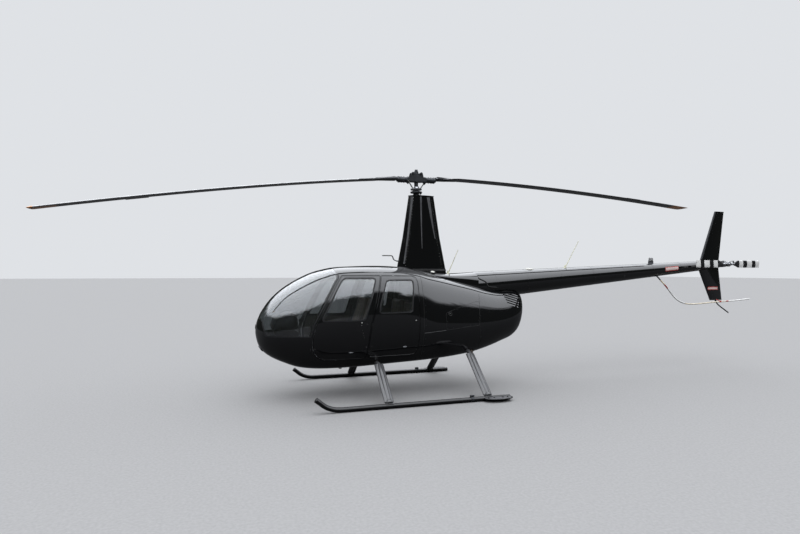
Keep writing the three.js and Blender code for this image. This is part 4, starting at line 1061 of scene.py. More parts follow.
# Tail gearbox, fins, stabilizer, guard, skid and tail rotor
tailX, _, tailZ = tailHub
gearbox = {
    "flange": [(80, 0), (84, -4), (84, -60), (79, -66), (74, -160), (70, -180)], "flangeAt": (-5420.3, 0, 1845),
    "housing": [(-5590, 0, 1850), (-5700, 0, 1857), (-6000, 0, tailZ), (-6014, 0, tailZ)],
    "housingRadii": [64, 62, 52, 44], "back": [(50, 0), (46, 30), (20, 36)],
    "output": [(62, 0), (62, 26), (48, 34), (48, 96), (44, 112), (40, 150), (34, 152), (28, 152)],
}
piece("tailGearbox", [
    lathed(gearbox["flange"], gearbox["flangeAt"], xAxis, 48), tube(gearbox["housing"], gearbox["housingRadii"], 40),
    lathed(gearbox["output"], (tailX, 0, tailZ), yAxis, 48), lathed(gearbox["back"], (tailX, -40, tailZ), minusY, 40),
    *[washer(46, 56, 5, (tailX, 70 + 12 * k, tailZ), yAxis, 40) for k in range(4)],
    *[bolt((-5472, 78 * math.cos(a), 1845 + 78 * math.sin(a)), minusX, 8) for a in np.linspace(0.3, 6.6, 9)[:-1]],
    lathed([(14, 0), (14, 14), (10, 18)], (-5760, 0, 1912), zAxis, 6),
    lathed([(16, 0), (16, 8), (13, 10)], (-5820, 52, 1868), yAxis, 24),
], darkMetal, replaces="tail_gearbox")


def finSolid(low, high, thick, rows=16):  # ends as (leading edge, trailing edge, height)
    rings = []
    for t in np.linspace(0, 1, rows):
        lead, trail, z = (between(ends, t) for ends in zip(low, high))
        rings.append(foilRing(lead, trail, between(thick, t), lambda x, y, z=z: (x, y, z)))
    return loft(rings)


fins = {
    "upper": {"low": (-5440, -5905, 1850), "high": (-5822, -6042, 2842), "thick": (46, 26), "rivets": 20},
    "lower": {"low": (-5700, -5986, 1214), "high": (-5405, -5905, 1850), "thick": (26, 46), "rivets": 12},
}
around = [coneSolid(0.3), tube([(-5419, 0, 1845), (-5600.3, 0, 1845)], [84.5, 70.5], 40),
          tube([(-5589, 0, 1850), (-6011, 0, tailZ)], [63, 53], 40)]
finRivets = []
for name, fin in fins.items():
    solid = finSolid(fin["low"], fin["high"], fin["thick"])
    surface = carve(meshObject(f"{name}FinSkin", solid), "DIFFERENCE", *around)
    finished(surface, blackPaint, "airframe", f"{name}_fin", 30)
    fin["skin"] = Skin(solid)
    for share in (0.3, 0.92):
        for t in np.linspace(0.06, 0.97, fin["rivets"]):
            lead, trail, z = (between(ends, t) for ends in zip(fin["low"], fin["high"]))
            if z > 1945 or z < 1760:
                finRivets.append(fin["skin"].near((lead + (trail - lead) * share, 60, z))[:2])
stabilizer = {  # root and tip values; the rows give y and how far the thickness is kept
    "lead": (-5440, -5470), "trail": (-5745, -5735), "thick": (40, 34), "z": 1850,
    "rows": ((-60, 1), (-300, 1), (-600, 1), (-868, 1), (-876, 0.8), (-880, 0.4)),
}
stabilizerRows = []
for y, kept in stabilizer["rows"]:
    lead, trail, thick = (between(stabilizer[key], (-y - 60) / 820) for key in ("lead", "trail", "thick"))
    stabilizerRows.append(foilRing(lead, trail, thick * kept, lambda x, z, y=y: (x, y, stabilizer["z"] + z)))
stabilizerSkin = carve(meshObject("stabilizerSkin", loft(stabilizerRows)), "DIFFERENCE", *around)
finished(stabilizerSkin, blackPaint, "airframe", "horizontal_stabilizer", 30)
piece("finEndCaps", [
    loft([foilRing(-5822 - d, -6042 + d, 30, lambda x, y, z=z: (x, y, z))
          for z, d in ((2826, -2), (2838, -2), (2842, 4))]),
    loft([foilRing(-5697, -5989, 30, lambda x, y, z=z: (x, y, z)) for z in (1215, 1226)]),
], blackPaint)
pair("finRivet", scattered(rivetHead(3, 1), *zip(*finRivets)), blackPaint)
guard = {
    "run": [(-4436, 54, 1676), (-4467, 60, 1640), (-4586, 95, 1503), (-4805, 118, 1262), (-4961, 120, 1186),
            (-5141, 120, 1162), (-5700, 110, 1186), (-6196, 95, 1206), (-6560, 85, 1232)],
    "flangeAim": (-0.25, 0.48, -0.84),
}
guardRun = curveThrough(guard["run"], 8)
piece("tailRotorGuard", [
    tube(guardRun, 11.5, 20), ball(guardRun[-1], (12, 12, 12)), rod((-5850, 12, 1224), (-5850, 112, 1193), 8.5, 14),
    lathed([(16, -14), (16, 14)], (-5850, 107, 1194), (1, -0.02, 0.02), 20), bolt((-5850, 119, 1192), yAxis, 9),
], guardPaint, replaces="tail_rotor_guard")
piece("guardFlange", [
    lathed([(34, -5), (34, 3), (17, 6), (15, 16), (12, 18)], (-4443, 55.4, 1668), guard["flangeAim"], 28),
    *[bolt(p + [-4443, 55.4, 1671], guard["flangeAim"], 6)
      for p in circle(25, guard["flangeAim"], (0.3, 1.9, 3.4, 5.0))],
], darkMetal)
skidRun = curveThrough([(-5840, 0, 1212), (-5880, 0, 1150), (-6142, 0, 980)], 10)
piece("tailSkidTube", [
    tube(skidRun, 10.5, 16), ball(skidRun[-1], (12, 11, 11), 8, 14),
    lathed([(16, 0), (16, 22)], (-5846, 0, 1190), (0.4, 0, 1), 20),
], darkMetal, replaces="tail_skid")

tailParts = [
    rod(tailHub - [0, 128, 0], tailHub + [0, 44, 0], 18, 28),
    lathed([(30, -30), (46, -26), (46, 18), (40, 24), (26, 26), (22, 44), (14, 46)], tailHub, yAxis, 40),
    lathed([(34, -96), (52, -92), (52, -72), (34, -66)], tailHub, yAxis, 40),
]
tailLinks = []
for s in (1, -1):
    tailParts += [
        roundBox(tailHub + [s * 30, -24, -20], tailHub + [s * 92, 20, 20], 6),
        lathed([(22, 0), (24, 8), (24, 40), (20, 48), (18, 92)], tailHub + [s * 40, 0, 0], (s, 0, 0), 28),
        bolt(tailHub + [s * 74, 20, 0], yAxis, 13), bolt(tailHub + [s * 74, -24, 0], minusY, 13),
        roundBox(tailHub + [s * 104, -8, 14], tailHub + [s * 132, 6, 64], 4),
    ]
    ends = [tailHub + [s * 44, -82, 36], tailHub + [s * 118, -4, 58]]
    tailLinks += [tube(ends, 6, 14), *[ball(end, (10, 10, 10), 8, 14) for end in ends]]
piece("tailRotorHub", tailParts, bareMetal, "tail_rotor", "tail_rotor_hub", 35)
piece("tailRotorLinks", tailLinks, steelBright, "tail_rotor")
tailBlade = {  # half chord and thickness at the root and beyond the cuff; tip radii with the thickness kept
    "half": (32, 65), "thick": (24, 16), "cuff": (140, 230), "tip": {732: 0.85, 736: 0.5, 737: 0.2},
}
for name, sign in (("front", 1), ("rear", -1)):
    rings = []
    for r in [*np.linspace(130.5, 260, 9), *np.linspace(290, 725, 12), *tailBlade["tip"]]:
        half, thick = (between(tailBlade[key], eased(r, *tailBlade["cuff"])) for key in ("half", "thick"))
        rings.append(foilRing(-half, half, thick * tailBlade["tip"].get(r, 1),
                              lambda c, t, r=r: tailHub + [sign * r, t, sign * c], 36))
    piece(f"tailRotorBlade_{name}", loft(rings), stripePaint, "tail_rotor", f"tail_blade_{name}", 30)
print("tail ready")

# Fan and its shroud, seen through the round opening at the back, and the exhaust
fan = {
    "shroud": [(244, -1582), (250, -1588), (262, -1590), (262, -1420), (300, -1420), (300, -1414), (244, -1414),
               (244, -1582)],
    "wheel": [(20, 40), (110, 40), (118, 30), (232, -32), (236, -40), (232, -44), (110, 22), (20, 22)],
    "cap": [(34, 8), (62, 12), (66, 30), (58, 48), (30, 54)], "shaft": 30, "vanes": 12,
}
shroud = meshObject("fanShroudRing", lathed(fan["shroud"], (0, 0, fanZ), xAxis, 80, False))
weld(shroud)
finished(carve(shroud, "INTERSECT", bodySolid(30)), darkMetal, "airframe", "fan_shroud", 35)
fanParts = [
    lathed(fan["wheel"], (fanX, 0, fanZ), minusX, 64), lathed(fan["cap"], (fanX - 50, 0, fanZ), xAxis, 40),
    rod((fanX + 20, 0, fanZ), (fanX + 530, 0, fanZ), fan["shaft"], 24),
]
vane = [(28 * math.cos(b), math.sin(b)) for b in np.linspace(0.1, 6.18, 18)]
vaneRings = [[(x, 4 * math.copysign(1, t) * (1 - (x / 31) ** 2) ** 0.5 + 34 * 0.16 * (r - 102) / 126 + x * 0.12, r)
              for x, t in vane] for r in np.linspace(102, 228, 8)]
for k in range(fan["vanes"]):
    c, s = math.cos(fullTurn * k / fan["vanes"]), math.sin(fullTurn * k / fan["vanes"])
    fanParts.append(stood(loft(vaneRings), [xAxis, (0, c, s), (0, -s, c)], [fanX, 0, fanZ]))
fanParts += [bolt((fanX - 46, 84 * math.cos(a), fanZ + 84 * math.sin(a)), minusX, 9) for a in np.linspace(0, 5.24, 6)]
piece("coolingFanWheel", fanParts, bareMetal, "fan", "cooling_fan", 35)
piece("exhaustStack", [
    tube(exhaustRun, 32, 32), washer(28, 34, 10, exhaustRun[-1] - [4, 0, 8], exhaustRun[-1] - exhaustRun[-2], 32),
    lathed([(32, 0), (46, 4), (46, 10), (32, 14)], exhaustRun[12], exhaustRun[13] - exhaustRun[12]),
], hotMetal, replaces="exhaust_pipe")
print("engine bay ready")

# Strobe and whips
strobe = {
    "at": (-4370, 0, 0), "foot": [(50, 1838), (52, 1862), (44, 1872), (42, 1920), (36, 1924)],
    "lens": [(38, 1921), (39, 1930), (38, 1960), (30, 1976), (14, 1983), (1, 1984)],
}
piece("strobeFoot", lathed(strobe["foot"], strobe["at"], sides=40), darkMetal, replaces="strobe_light")
piece("strobeLens", lathed(strobe["lens"], strobe["at"], sides=40), lens)
whips = {
    "front": {"foot": (-519, 0, 1703), "tip": (-686, 0, 2066), "stands": zAxis},
    "rear": {"foot": (-2615, 0, 1800), "tip": (-2877, 0, 2242), "stands": (-0.07, 0, 1)},
}
for name, whip in whips.items():
    foot, tip = np.array(whip["foot"]), np.array(whip["tip"])
    run = unit(tip - foot)
    piece(f"whipAntenna_{name}", [
        lathed([(26, -26), (27, 2), (24, 8), (15, 14), (11, 40), (8, 46)], foot, whip["stands"], 28),
        tube([foot + run * 30, foot + run * 120, tip], [8, 6.5, 4.5], 12), ball(tip, (6.5, 6.5, 6.5), 8, 12),
    ], whipIvory, replaces=f"whip_antenna_{name}")

# Floor and seat bases
cabin = {
    "floorZ": 540, "floorThick": 20, "floorFront": 2060, "trim": bodyShape["wall"] + 50, "baseTop": 742,
    "bases": {"front": (840, 1290), "rear": (firewallX + 6, 640)}, "half": 545,
    "postSeam": [(925, 430), (905, 620), (870, 950), (832, 1120), (750, 1450), (702, 1700), (690, 1800)],
    "postDepth": (35, 66), "postHalf": 26,
}
floorZ, baseTop = cabin["floorZ"], cabin["baseTop"]
floorPlate = meshObject("cabinFloorCarpet",
                        block(firewallX + gap, cabin["floorFront"], floorZ - cabin["floorThick"], floorZ))
carve(floorPlate, "INTERSECT", bodySolid(bodyShape["wall"] + gap))
finished(floorPlate, floorCarpet, "airframe", "cabin_floor", 30)
trimSolid = bodySolid(cabin["trim"])
for place, (x0, x1) in cabin["bases"].items():
    for side, (y0, y1) in {"left": (2, cabin["half"]), "right": (-cabin["half"], -2)}.items():
        base = meshObject(f"{place}SeatBase_{side}", roundBox((x0, y0, floorZ + 0.5), (x1, y1, baseTop), 10))
        finished(carve(base, "INTERSECT", trimSolid), liner, angle=35)
for place, (x0, x1) in cabin["bases"].items():
    pair(f"{place}SeatBaseTrim", [
        tube([(x1 + 1, 20, baseTop - 22), (x1 + 1, 470, baseTop - 22)], 3, 8),
        roundBox((x1 - 2, 225, 660), (x1 + 5, 275, 690), 3), *[bolt((x1 + 1, y, 640), xAxis, 9) for y in (40, 450)],
    ], steelBright)
heelPad = {"low": (1400, 120, 536), "high": (1640, 400, 543.5), "ribs": range(1420, 1630, 20), "ribY": (130, 390)}
pair("heelPad", [
    roundBox(heelPad["low"], heelPad["high"], 3),
    *[tube([(x, y, 543.4) for y in heelPad["ribY"]], 2, 6) for x in heelPad["ribs"]],
], rubber)

# Posts behind the seams between the front and rear doors
postStrip = [(x - cabin["postHalf"], z) for x, z in cabin["postSeam"]]
postStrip += [(x + cabin["postHalf"], z) for x, z in reversed(cabin["postSeam"])]
post = meshObject("doorPost_left", prism(postStrip, 200, far))
carve(post, "INTERSECT", bodySolid(cabin["postDepth"][0]))
carve(post, "DIFFERENCE", bodySolid(cabin["postDepth"][1]))
finished(post, liner, angle=30)
finished(mirroredObject(post, "doorPost_right"), liner, angle=30)
print("cabin floor ready")

# Seats: padded cushions in mm, laid out in their own axes and then turned into place
seats = {
    "front": {"bottom": ((858, 72, 752), (1288, 531, 832)), "foot": (858, 0, 858), "top": (716, 0, 1362),
              "shell": [(792, 745), (806, 745), (671, 1340), (655, 1340)]},
    "rear": {"bottom": ((258, 72, 752), (638, 531, 832)), "foot": (222, 0, 858), "top": (176, 0, 1326),
             "shell": [(150, 745), (164, 745), (134, 1300), (118, 1300)]},
}
seatShape = {"tilt": 0.04, "thick": 66, "width": (68, 535), "bulge": 17, "rim": 45, "piping": 3.2, "corner": 24}
sewn = {"depth": 6.0, "width": 7.0}


def meshPoints(obj):
    return np.array([v.co for v in obj.data.vertices]) / mm - mastShift


def putPoints(obj, points):
    obj.data.vertices.foreach_set("co", ((points + mastShift) * mm).ravel())
    obj.data.update()


def meshNormals(obj):
    flat = np.zeros(len(obj.data.vertices) * 3)
    obj.data.vertex_normals.foreach_get("vector", flat)
    return flat.reshape(-1, 3)


def swollen(obj, cap, pressure=4.0, voxel=0.007):  # padded by a short cloth run with inner pressure
    remesh = obj.modifiers.new("remesh", "REMESH")
    remesh.mode, remesh.voxel_size = "VOXEL", voxel
    settle(obj)
    start = meshPoints(obj)
    cloth = obj.modifiers.new("cloth", "CLOTH")
    cloth.settings.use_pressure = True
    cloth.settings.uniform_pressure_force = pressure
    cloth.settings.effector_weights.gravity = 0
    for number in range(1, 21):
        scene.frame_set(number)
    settle(obj)
    scene.frame_set(1)
    move = meshPoints(obj) - start
    reach = np.linalg.norm(move, axis=1)[:, None]
    putPoints(obj, start + move * np.minimum(1, cap / np.maximum(reach, 1e-6)))
    return obj


def grooved(obj, origin, right, along, face, lines):  # sewn channels pressed into the front face
    points, normals = meshPoints(obj), meshNormals(obj)
    facing = np.clip((normals @ face - 0.3) / 0.4, 0, 1)
    u, v = (points - origin) @ right, (points - origin) @ along
    dent = np.zeros(len(points))
    for (u0, v0), (u1, v1) in lines:
        run = np.array([u1 - u0, v1 - v0])
        t = np.clip(((u - u0) * run[0] + (v - v0) * run[1]) / (run @ run), 0, 1)
        away = np.hypot(u - u0 - t * run[0], v - v0 - t * run[1])
        dent = np.maximum(dent, np.exp(-(away / sewn["width"]) ** 2))
    putPoints(obj, points - face * (dent * facing * sewn["depth"])[:, None])


def surfaceOf(obj):
    return BVHTree.FromPolygons([Vector(p) for p in meshPoints(obj)], [tuple(f.vertices) for f in obj.data.polygons])


def laidOn(tree, points, direction, lift):  # points pushed along a direction until they meet the surface
    hits = [(p, tree.ray_cast(Vector(p), Vector(direction))[0]) for p in points]
    return np.array([np.array(place if place else p) - np.array(direction) * lift for p, place in hits])


def snapped(tree, points):
    found = [tree.find_nearest(Vector(p)) for p in points]
    return np.array([np.array(place) + np.array(normal) for place, normal, _, _ in found])


def strap(path, width, thick, facing):  # flat webbing whose broad side looks along facing
    path = np.array(path, float)
    rings = []
    for p, run in zip(path, np.gradient(path, axis=0)):
        across = unit(np.cross(unit(run), facing))
        up = np.cross(across, unit(run))
        rings.append([p + across * s * width / 2 + up * t * thick / 2 for s, t in ((-1, -1), (1, -1), (1, 1), (-1, 1))])
    return loft(rings)


def smoothPath(path, rounds=3):
    path = np.array(path, float)
    for _ in range(rounds):
        path[1:-1] = (path[:-2] + 2 * path[1:-1] + path[2:]) / 4
    return path


def rimOf(x0, y0, x1, y1):  # rounded rectangle for the piping
    return resampled(rounded([(x0, y0), (x1, y0), (x1, y1), (x0, y1)], seatShape["rim"], 8), 14, True)


def sewnLines(u, v, share, foot, top, wide):  # two channels along, and one across at the top
    return [((-u * share, -v * foot), (-u * share, v * top)), ((u * share, -v * foot), (u * share, v * top)),
            ((-u * wide, v * top), (u * wide, v * top))]


def cushion(obj, name, cadNode):
    other = mirroredObject(obj, name.replace("left", "right"))
    for made, replaces in ((obj, cadNode), (other, cadNode.replace("left", "right"))):
        finished(made, seatLeather, "airframe", replaces, 60)


across = np.array([0, 1.0, 0])
for place, plan in seats.items():
    lo, hi = (np.array(corner, float) for corner in plan["bottom"])
    points, faces = roundBox(lo, hi, seatShape["corner"])
    points[:, 2] += (points[:, 0] - lo[0]) * seatShape["tilt"]
    bottom = swollen(meshObject(f"{place}SeatCushion_left", (points, faces)), seatShape["bulge"])
    shape = meshPoints(bottom)
    shape[:, 2] = np.maximum(shape[:, 2], baseTop + 1.5)
    putPoints(bottom, shape)
    depth, wide, _ = hi - lo
    grooved(bottom, (lo + hi) / 2 * [1, 1, 0], across, np.array([1.0, 0, 0]), np.array([0, 0, 1.0]),
            sewnLines(wide, depth, 0.17, 0.42, 0.33, 0.48))
    foot, top = np.array(plan["foot"], float), np.array(plan["top"], float)
    length, along, thick = np.linalg.norm(top - foot), unit(top - foot), seatShape["thick"]
    face = np.array([along[2], 0, -along[0]])
    centre = (foot + top) / 2 + [0, sum(seatShape["width"]) / 2, 0]
    half = (seatShape["width"][1] - seatShape["width"][0]) / 2 - 5
    padding = roundBox((-thick / 2, -half, -length / 2), (thick / 2, half, length / 2), seatShape["corner"])
    back = meshObject(f"{place}SeatBack_left", stood(padding, [face, across, along], centre))
    grooved(swollen(back, seatShape["bulge"]), centre, across, along, face,
            sewnLines(half, length, 0.36, 0.42, 0.26, 0.97))
    cushion(bottom, bottom.name, f"{place}_seat_left")
    cushion(back, back.name, "")
    bottomTree, backTree = surfaceOf(bottom), surfaceOf(back)
    rimPath = snapped(bottomTree, [(x, y, hi[2] + 12 + (x - lo[0]) * seatShape["tilt"])
                                   for x, y in rimOf(lo[0] - 2, lo[1] - 2, hi[0] + 2, hi[1] + 2)])
    backPath = snapped(backTree, [centre + across * u + along * v + face * (thick / 2 + 14)
                                  for u, v in rimOf(-half - 4, -length / 2 - 4, half + 4, length / 2 + 4)])
    pair(f"{place}SeatPiping", [tube(np.vstack([smoothPath(path), path[:1]]), seatShape["piping"], 8)
                                for path in (rimPath, backPath)], pipingLeather)
    pair(f"{place}SeatShell", prism(plan["shell"], seatShape["width"][0] - 4, seatShape["width"][1] + 4), panelGrey)
    lapX = lo[0] + 72
    lap = laidOn(bottomTree, [(lapX + 25 * math.sin(math.pi * t), 520 - 430 * t, hi[2] + 60)
                              for t in np.linspace(0, 1, 26)], minusZ, 2.0)
    shoulderPlan = [centre + across * u + along * v + face * 150 for u, v in
                    zip(np.linspace(0.45 * half, 0.82 * half, 30), np.linspace(length * 0.49, -length * 0.4, 30))]
    shoulder = smoothPath(laidOn(backTree, shoulderPlan, tuple(-face), 2.0))
    shoulder = np.vstack([shoulder, [(lapX - 4, 508, lap[2][2] + 5)]])
    pair(f"{place}LapBelt", strap(smoothPath(lap), 46, 2.4, zAxis), beltWebbing)
    pair(f"{place}ShoulderBelt", strap(shoulder, 44, 2.4, tuple(face)), beltWebbing)
    buckle = np.array([lapX + 2, 96, lap[-3][2] + 9])
    pair(f"{place}Buckle", [
        roundBox(buckle - [24, 34, 9], buckle + [24, 34, 9], 5),
        lathed([(6, 0), (7, 3), (5, 6)], buckle + [0, 46, 0], sides=12),
    ], darkMetal)
    pair(f"{place}BuckleButton", roundBox(buckle + [-14, -30, 7], buckle + [14, -6, 11], 2), buttonRed)
    print(f"{place} seats ready")

# Pedals, levers and the shared stick
pedals = {"x": 1890, "z": 662, "half": 32, "rise": 44, "at": (196, 312)}
x, z, half, rise, (innerY, outerY) = pedals.values()
pair("pedal", [
    *[roundBox((x - 8, y - half, z - rise), (x, y + half, z + rise), 3) for y in pedals["at"]],
    rod((x + 4, innerY - 34, z), (x + 4, outerY + 34, z), 9),
    rod((x + 14, innerY, floorZ + 1), (x + 4, innerY, z), 9),
], bareMetal)
pedalRubber = []
for y in pedals["at"]:
    pedalRubber.append(roundBox((x - 12, y - half + 4, z - rise + 4), (x - 7.5, y + half - 4, z + rise - 4), 2))
    pedalRubber += [tube([(x - 12, y - half + 7, z + k), (x - 12, y + half - 7, z + k)], 2, 6)
                    for k in range(-34, 35, 11)]
pair("pedalRubber", pedalRubber, rubber)
leverFoot, leverTop = np.array([900, -25, 734.0]), np.array([1290, -25, 905.0])
leverRun = unit(leverTop - leverFoot)
piece("collectiveLever", [
    tube([leverFoot, leverTop - leverRun * 30], 10, 16),
    lathed([(26, 0), (26, 4), (20, 14), (12, 24)], leverFoot + [0, 0, 9], sides=24),
], darkMetal)
gripShape = [
    (11, -150), (14.5, -146), (14.5, -120), (12, -116), (14, -112), (14, -28), (16, -24), (16, -4), (12, 0), (2, 1),
]
gripRibs = [14.2 * np.array([0, math.cos(a), math.sin(a)]) for a in np.linspace(0, fullTurn, 15)[:-1]]
piece("collectiveGrip", [
    lathed(gripShape, leverTop, leverRun, 24),
    *[tube([leverTop - leverRun * 108 + rib, leverTop - leverRun * 32 + rib], 1.2, 6) for rib in gripRibs],
], rubber)
stick = {"x": 1420, "lean": -25, "top": 1010, "half": 290, "grip": (1395, 284, 1022)}
barX, barZ, barHalf = stick["x"] + stick["lean"], stick["top"] + 2, stick["half"] - 5
piece("cyclicStick", [
    tube(curveThrough([(stick["x"], 0, 560), (stick["x"] - 5, 0, 700), (barX, 0, barZ)], 8), 15, 20),
    rod((barX, -38, barZ), (barX, 38, barZ), 22, 24), rod((barX, -barHalf, barZ), (barX, barHalf, barZ), 11.5, 20),
    bolt((barX, 0, barZ + 20), zAxis, 14), bolt((barX + 22, 0, barZ), xAxis, 10),
    *[lathed([(14, 0), (14, 22)], (barX, y, barZ), yAxis, 20) for y in (-282, 260)],
], darkMetal, replaces="cyclic_stick")
bootShape = [
    (44, 541), (42, 548), (34, 552), (38, 560), (30, 566), (33, 574), (25, 580), (27, 588), (18, 596), (15, 610),
]
piece("stickBoot", lathed(bootShape, (stick["x"], 0, 0)), rubber)
gripPath = curveThrough([stick["grip"], (1397, 284, 1000), (1402, 284, 960), (1409, 284, 905)], 8)
pair("stickGrip", [
    tube(gripPath, [13 + 3 * math.sin(k * 0.55) ** 2 for k in range(25)], 20), ball(stick["grip"], (17, 17, 14)),
    roundBox((1405, 278, 985), (1418, 290, 1005), 3),
], rubber)
pair("stickButton", lathed([(5, 0), (5, 4), (3, 5)], (1388, 284, 1031), (-0.4, 0, 1), 14), buttonRed)

# Instrument console with its pod, dials, radios and glareshield; dials are (y, way up the face, radius)
console = {
    "column": [(1745, 541), (1990, 541), (2030, 760), (2110, 940), (1850, 940), (1760, 900)],
    "pod": [(2126, 944), (2088, 1092), (1880, 1160), (1806, 1126), (1781, 962), (1850, 936)],
    "shade": [(1790, 1140), (1880, 1172), (2096, 1104), (2100, 1097), (1880, 1162), (1794, 1132)],
    "dials": [*[(y, 118, 38) for y in (-186, -98, -10, 78)], (160, 124, 28), (214, 124, 20),
              *[(y, 42, 30) for y in (-186, -98, -10, 78)], (160, 62, 24), (214, 70, 20)],
    "radios": (44, 44, 44, 60),
}


def consoleBox(name, outline, half, width):
    obj = meshObject(name, prism(outline, -half, half))
    change = obj.modifiers.new("bevel", "BEVEL")
    change.width, change.segments, change.limit_method = width * mm, 3, "ANGLE"
    settle(obj)
    return carve(obj, "INTERSECT", bodySolid(50))


finished(consoleBox("instrumentColumn", console["column"], 126, 14), panelGrey, "airframe", "instrument_console", 35)
finished(consoleBox("instrumentPod", console["pod"], 250, 16), panelGrey, angle=35)
faceFoot, faceTop = np.array([1781, 0, 962.0]), np.array([1806, 0, 1126.0])
faceUp = unit(faceTop - faceFoot)
faceOut = np.array([-faceUp[2], 0, faceUp[0]])


def onFace(a):
    return math.cos(a) * faceUp + math.sin(a) * np.cross(faceUp, faceOut)


bezels, dialFaces, marks, screws = [], [], [], []
for number, (y, up, r) in enumerate(console["dials"]):
    at = faceFoot + faceUp * up + [0, y, 0]
    bezels.append(lathed([(r + 3, -1), (r + 3, 3), (r, 5), (r - 3, 2.5), (r - 3.5, 0.5)], at, faceOut, 28))
    dialFaces.append(lathed([(r - 3, -0.5), (r - 3, 0.9), (0.5, 0.9)], at, faceOut, 28))
    for k in range(12):
        ray, inner = onFace(fullTurn * k / 12), r - (9 if k % 3 == 0 else 7)
        marks.append(tube([at + faceOut * 1.2 + ray * inner, at + faceOut * 1.2 + ray * (r - 4.5)], 0.7, 4))
    hand = onFace(0.9 + number * 1.31)
    marks.append(tube([at + faceOut * 2 - hand * 5, at + faceOut * 2 + hand * (r - 9)], [1.4, 0.6], 5))
    screws += [bolt(at + onFace(a) * (r + 7), faceOut, 2.6) for a in (0.785, 2.356, 3.927, 5.498)]
piece("dialBezels", bezels, rubber)
piece("dialFaces", dialFaces, dialBlack)
piece("dialMarks", marks, whitePaint)
piece("panelScrews", screws, steelBright)
radios, knobs, screens = [], [], []
columnTop = np.array([1760, 0, 900.0])
columnUp = unit(columnTop - [1745, 0, 541.0])
for k, height in enumerate(console["radios"]):
    at = columnTop - columnUp * (34 + sum(console["radios"][:k]) + height / 2 + 4 * k)
    radios.append(roundBox(at + [-6, -82, -height / 2], at + [4, 82, height / 2], 3))
    screens.append(roundBox(at + [-7.5, -45, -height * 0.28], at + [-5.5, 45, height * 0.3], 1))
    knobs += [lathed([(9, 0), (9, 10), (7.5, 12), (6, 12), (6, 18), (4.5, 19)], at + [-6, y, -4], minusX, 20)
              for y in (-66, 66)]
piece("radioStack", radios, rubber)
piece("radioScreens", screens, dialBlack)
piece("radioKnobs", knobs, darkMetal)
glareshield = carve(meshObject("glareshield", prism(console["shade"], -256, 256)), "INTERSECT", bodySolid(45))
finished(glareshield, doorTrim, angle=35)
for name, material in (("firewall", firewallQuilt), ("engine_block", castMetal)):  # carried parts keep their shape
    carried = bpy.data.objects[name].data.materials
    carried.clear()
    carried.append(material)
print("console ready")


# Seals, beads and trims that lie on the skin
def ribbon(rowA, rowB, lift, sink, closed=False):  # a flat strip between two rows of surface points
    rings = [[pa + na * lift, pb + nb * lift, pb - nb * sink, pa - na * sink]
             for (pa, na), (pb, nb) in zip(rowA, rowB)]
    return loft(rings + rings[:1], caps=False) if closed else loft(rings)


for place, spec in doors.items():
    base = resampled(spec["pane"], 14, True)
    seal = ribbon(*(bodySkin.run(offsetOutline(base, grow)) for grow in (2.5, -13)), 1.0, 3.5, True)
    pair(f"{place}WindowSeal", seal, sealBlack, spec["bodies"])
    bead = bodySkin.along(offsetOutline(base, 5), 0.6, 14, True)[0]
    pair(f"{place}WindowBead", tube(ringOf(bead), 2.6, 8), blackPaint, spec["bodies"])
    rim = bodySkin.along(resampled(offsetOutline(spec["cut"], -5), 16, True), 0.2, 16, True)[0]
    pair(f"{place}DoorEdgeBead", tube(ringOf(rim), 2.0, 8), blackPaint, spec["bodies"])
    lining = [p - n * 27.5 for p, n in bodySkin.run(resampled(offsetOutline(spec["cut"], -16), 20, True))]
    pair(f"{place}DoorInnerSeal", tube(ringOf(lining), 4.5, 8), rubber, spec["bodies"])

edges = {  # spans of the windshield's seals, and the sweep of the middle post's trim seen from a point inside
    "post": (884, 1700), "sill": (1664, 2212), "sillZ": (872, 889), "topX": (1284, 1300), "topHalf": 430,
    "nose": [(2209, 876), (2222, 920), (2234, 960), (2246, 1020), (2255, 1078)], "noseWide": 16,
    "sweep": (104, 5), "from": (1650, 0, 1080), "trimHalf": 19,
}
postSpan = np.linspace(*edges["post"], 44)
postX = np.interp(postSpan, *zip(*[(z, x) for x, z in reversed(postLine)]))
inward = [np.array([-math.cos(a), 0, -math.sin(a)]) for a in np.radians(np.linspace(*edges["sweep"], 60))]


def besidePost(shift):
    return bodySkin.run(zip(postX + shift, postSpan))


def centreRow(directions, y=0.0):
    return [bodySkin.hit(np.array(edges["from"]) - d * 2000 + [0, y, 0], d) for d in directions]


pair("windshieldPostSeal", ribbon(besidePost(-1), besidePost(17), 1.0, 3.5), sealBlack)
pair("windshieldPostBead", tube([p + n * 0.8 for p, n in besidePost(-3)], 2.2, 8), blackPaint)
pair("windshieldSillSeal", [
    ribbon(*(bodySkin.run([(x, z) for x in np.linspace(*edges["sill"], 40)]) for z in edges["sillZ"]), 1.0, 3.5),
    ribbon(*(bodySkin.run([(x + s, z) for x, z in edges["nose"]]) for s in (0, edges["noseWide"])), 1.0, 3.5),
], sealBlack)
topSpan = np.linspace(-edges["topHalf"], edges["topHalf"], 44)
topRows = [[bodySkin.hit((x, y, 2500), minusZ) for y in topSpan] for x in edges["topX"]]
piece("windshieldTopSeal", ribbon(*topRows, 0.8, 3.5), blackPaint)
trimRows = [centreRow(inward, side * edges["trimHalf"]) for side in (-1, 1)]
piece("windshieldPostTrim", ribbon(*trimRows, 2.0, 2.0), blackPaint)
screwRow = [(p + n * 2.0, n) for p, n in centreRow(inward[2:-2:3])]
piece("windshieldPostScrew", scattered(rivetHead(4.2, 1.6), *zip(*screwRow)), steelBright)


# Handles, latches and hinges of the doors
def levelOn(normal):  # the direction nearest to forward that lies in the surface
    return unit(np.array(xAxis) - normal * normal[0])


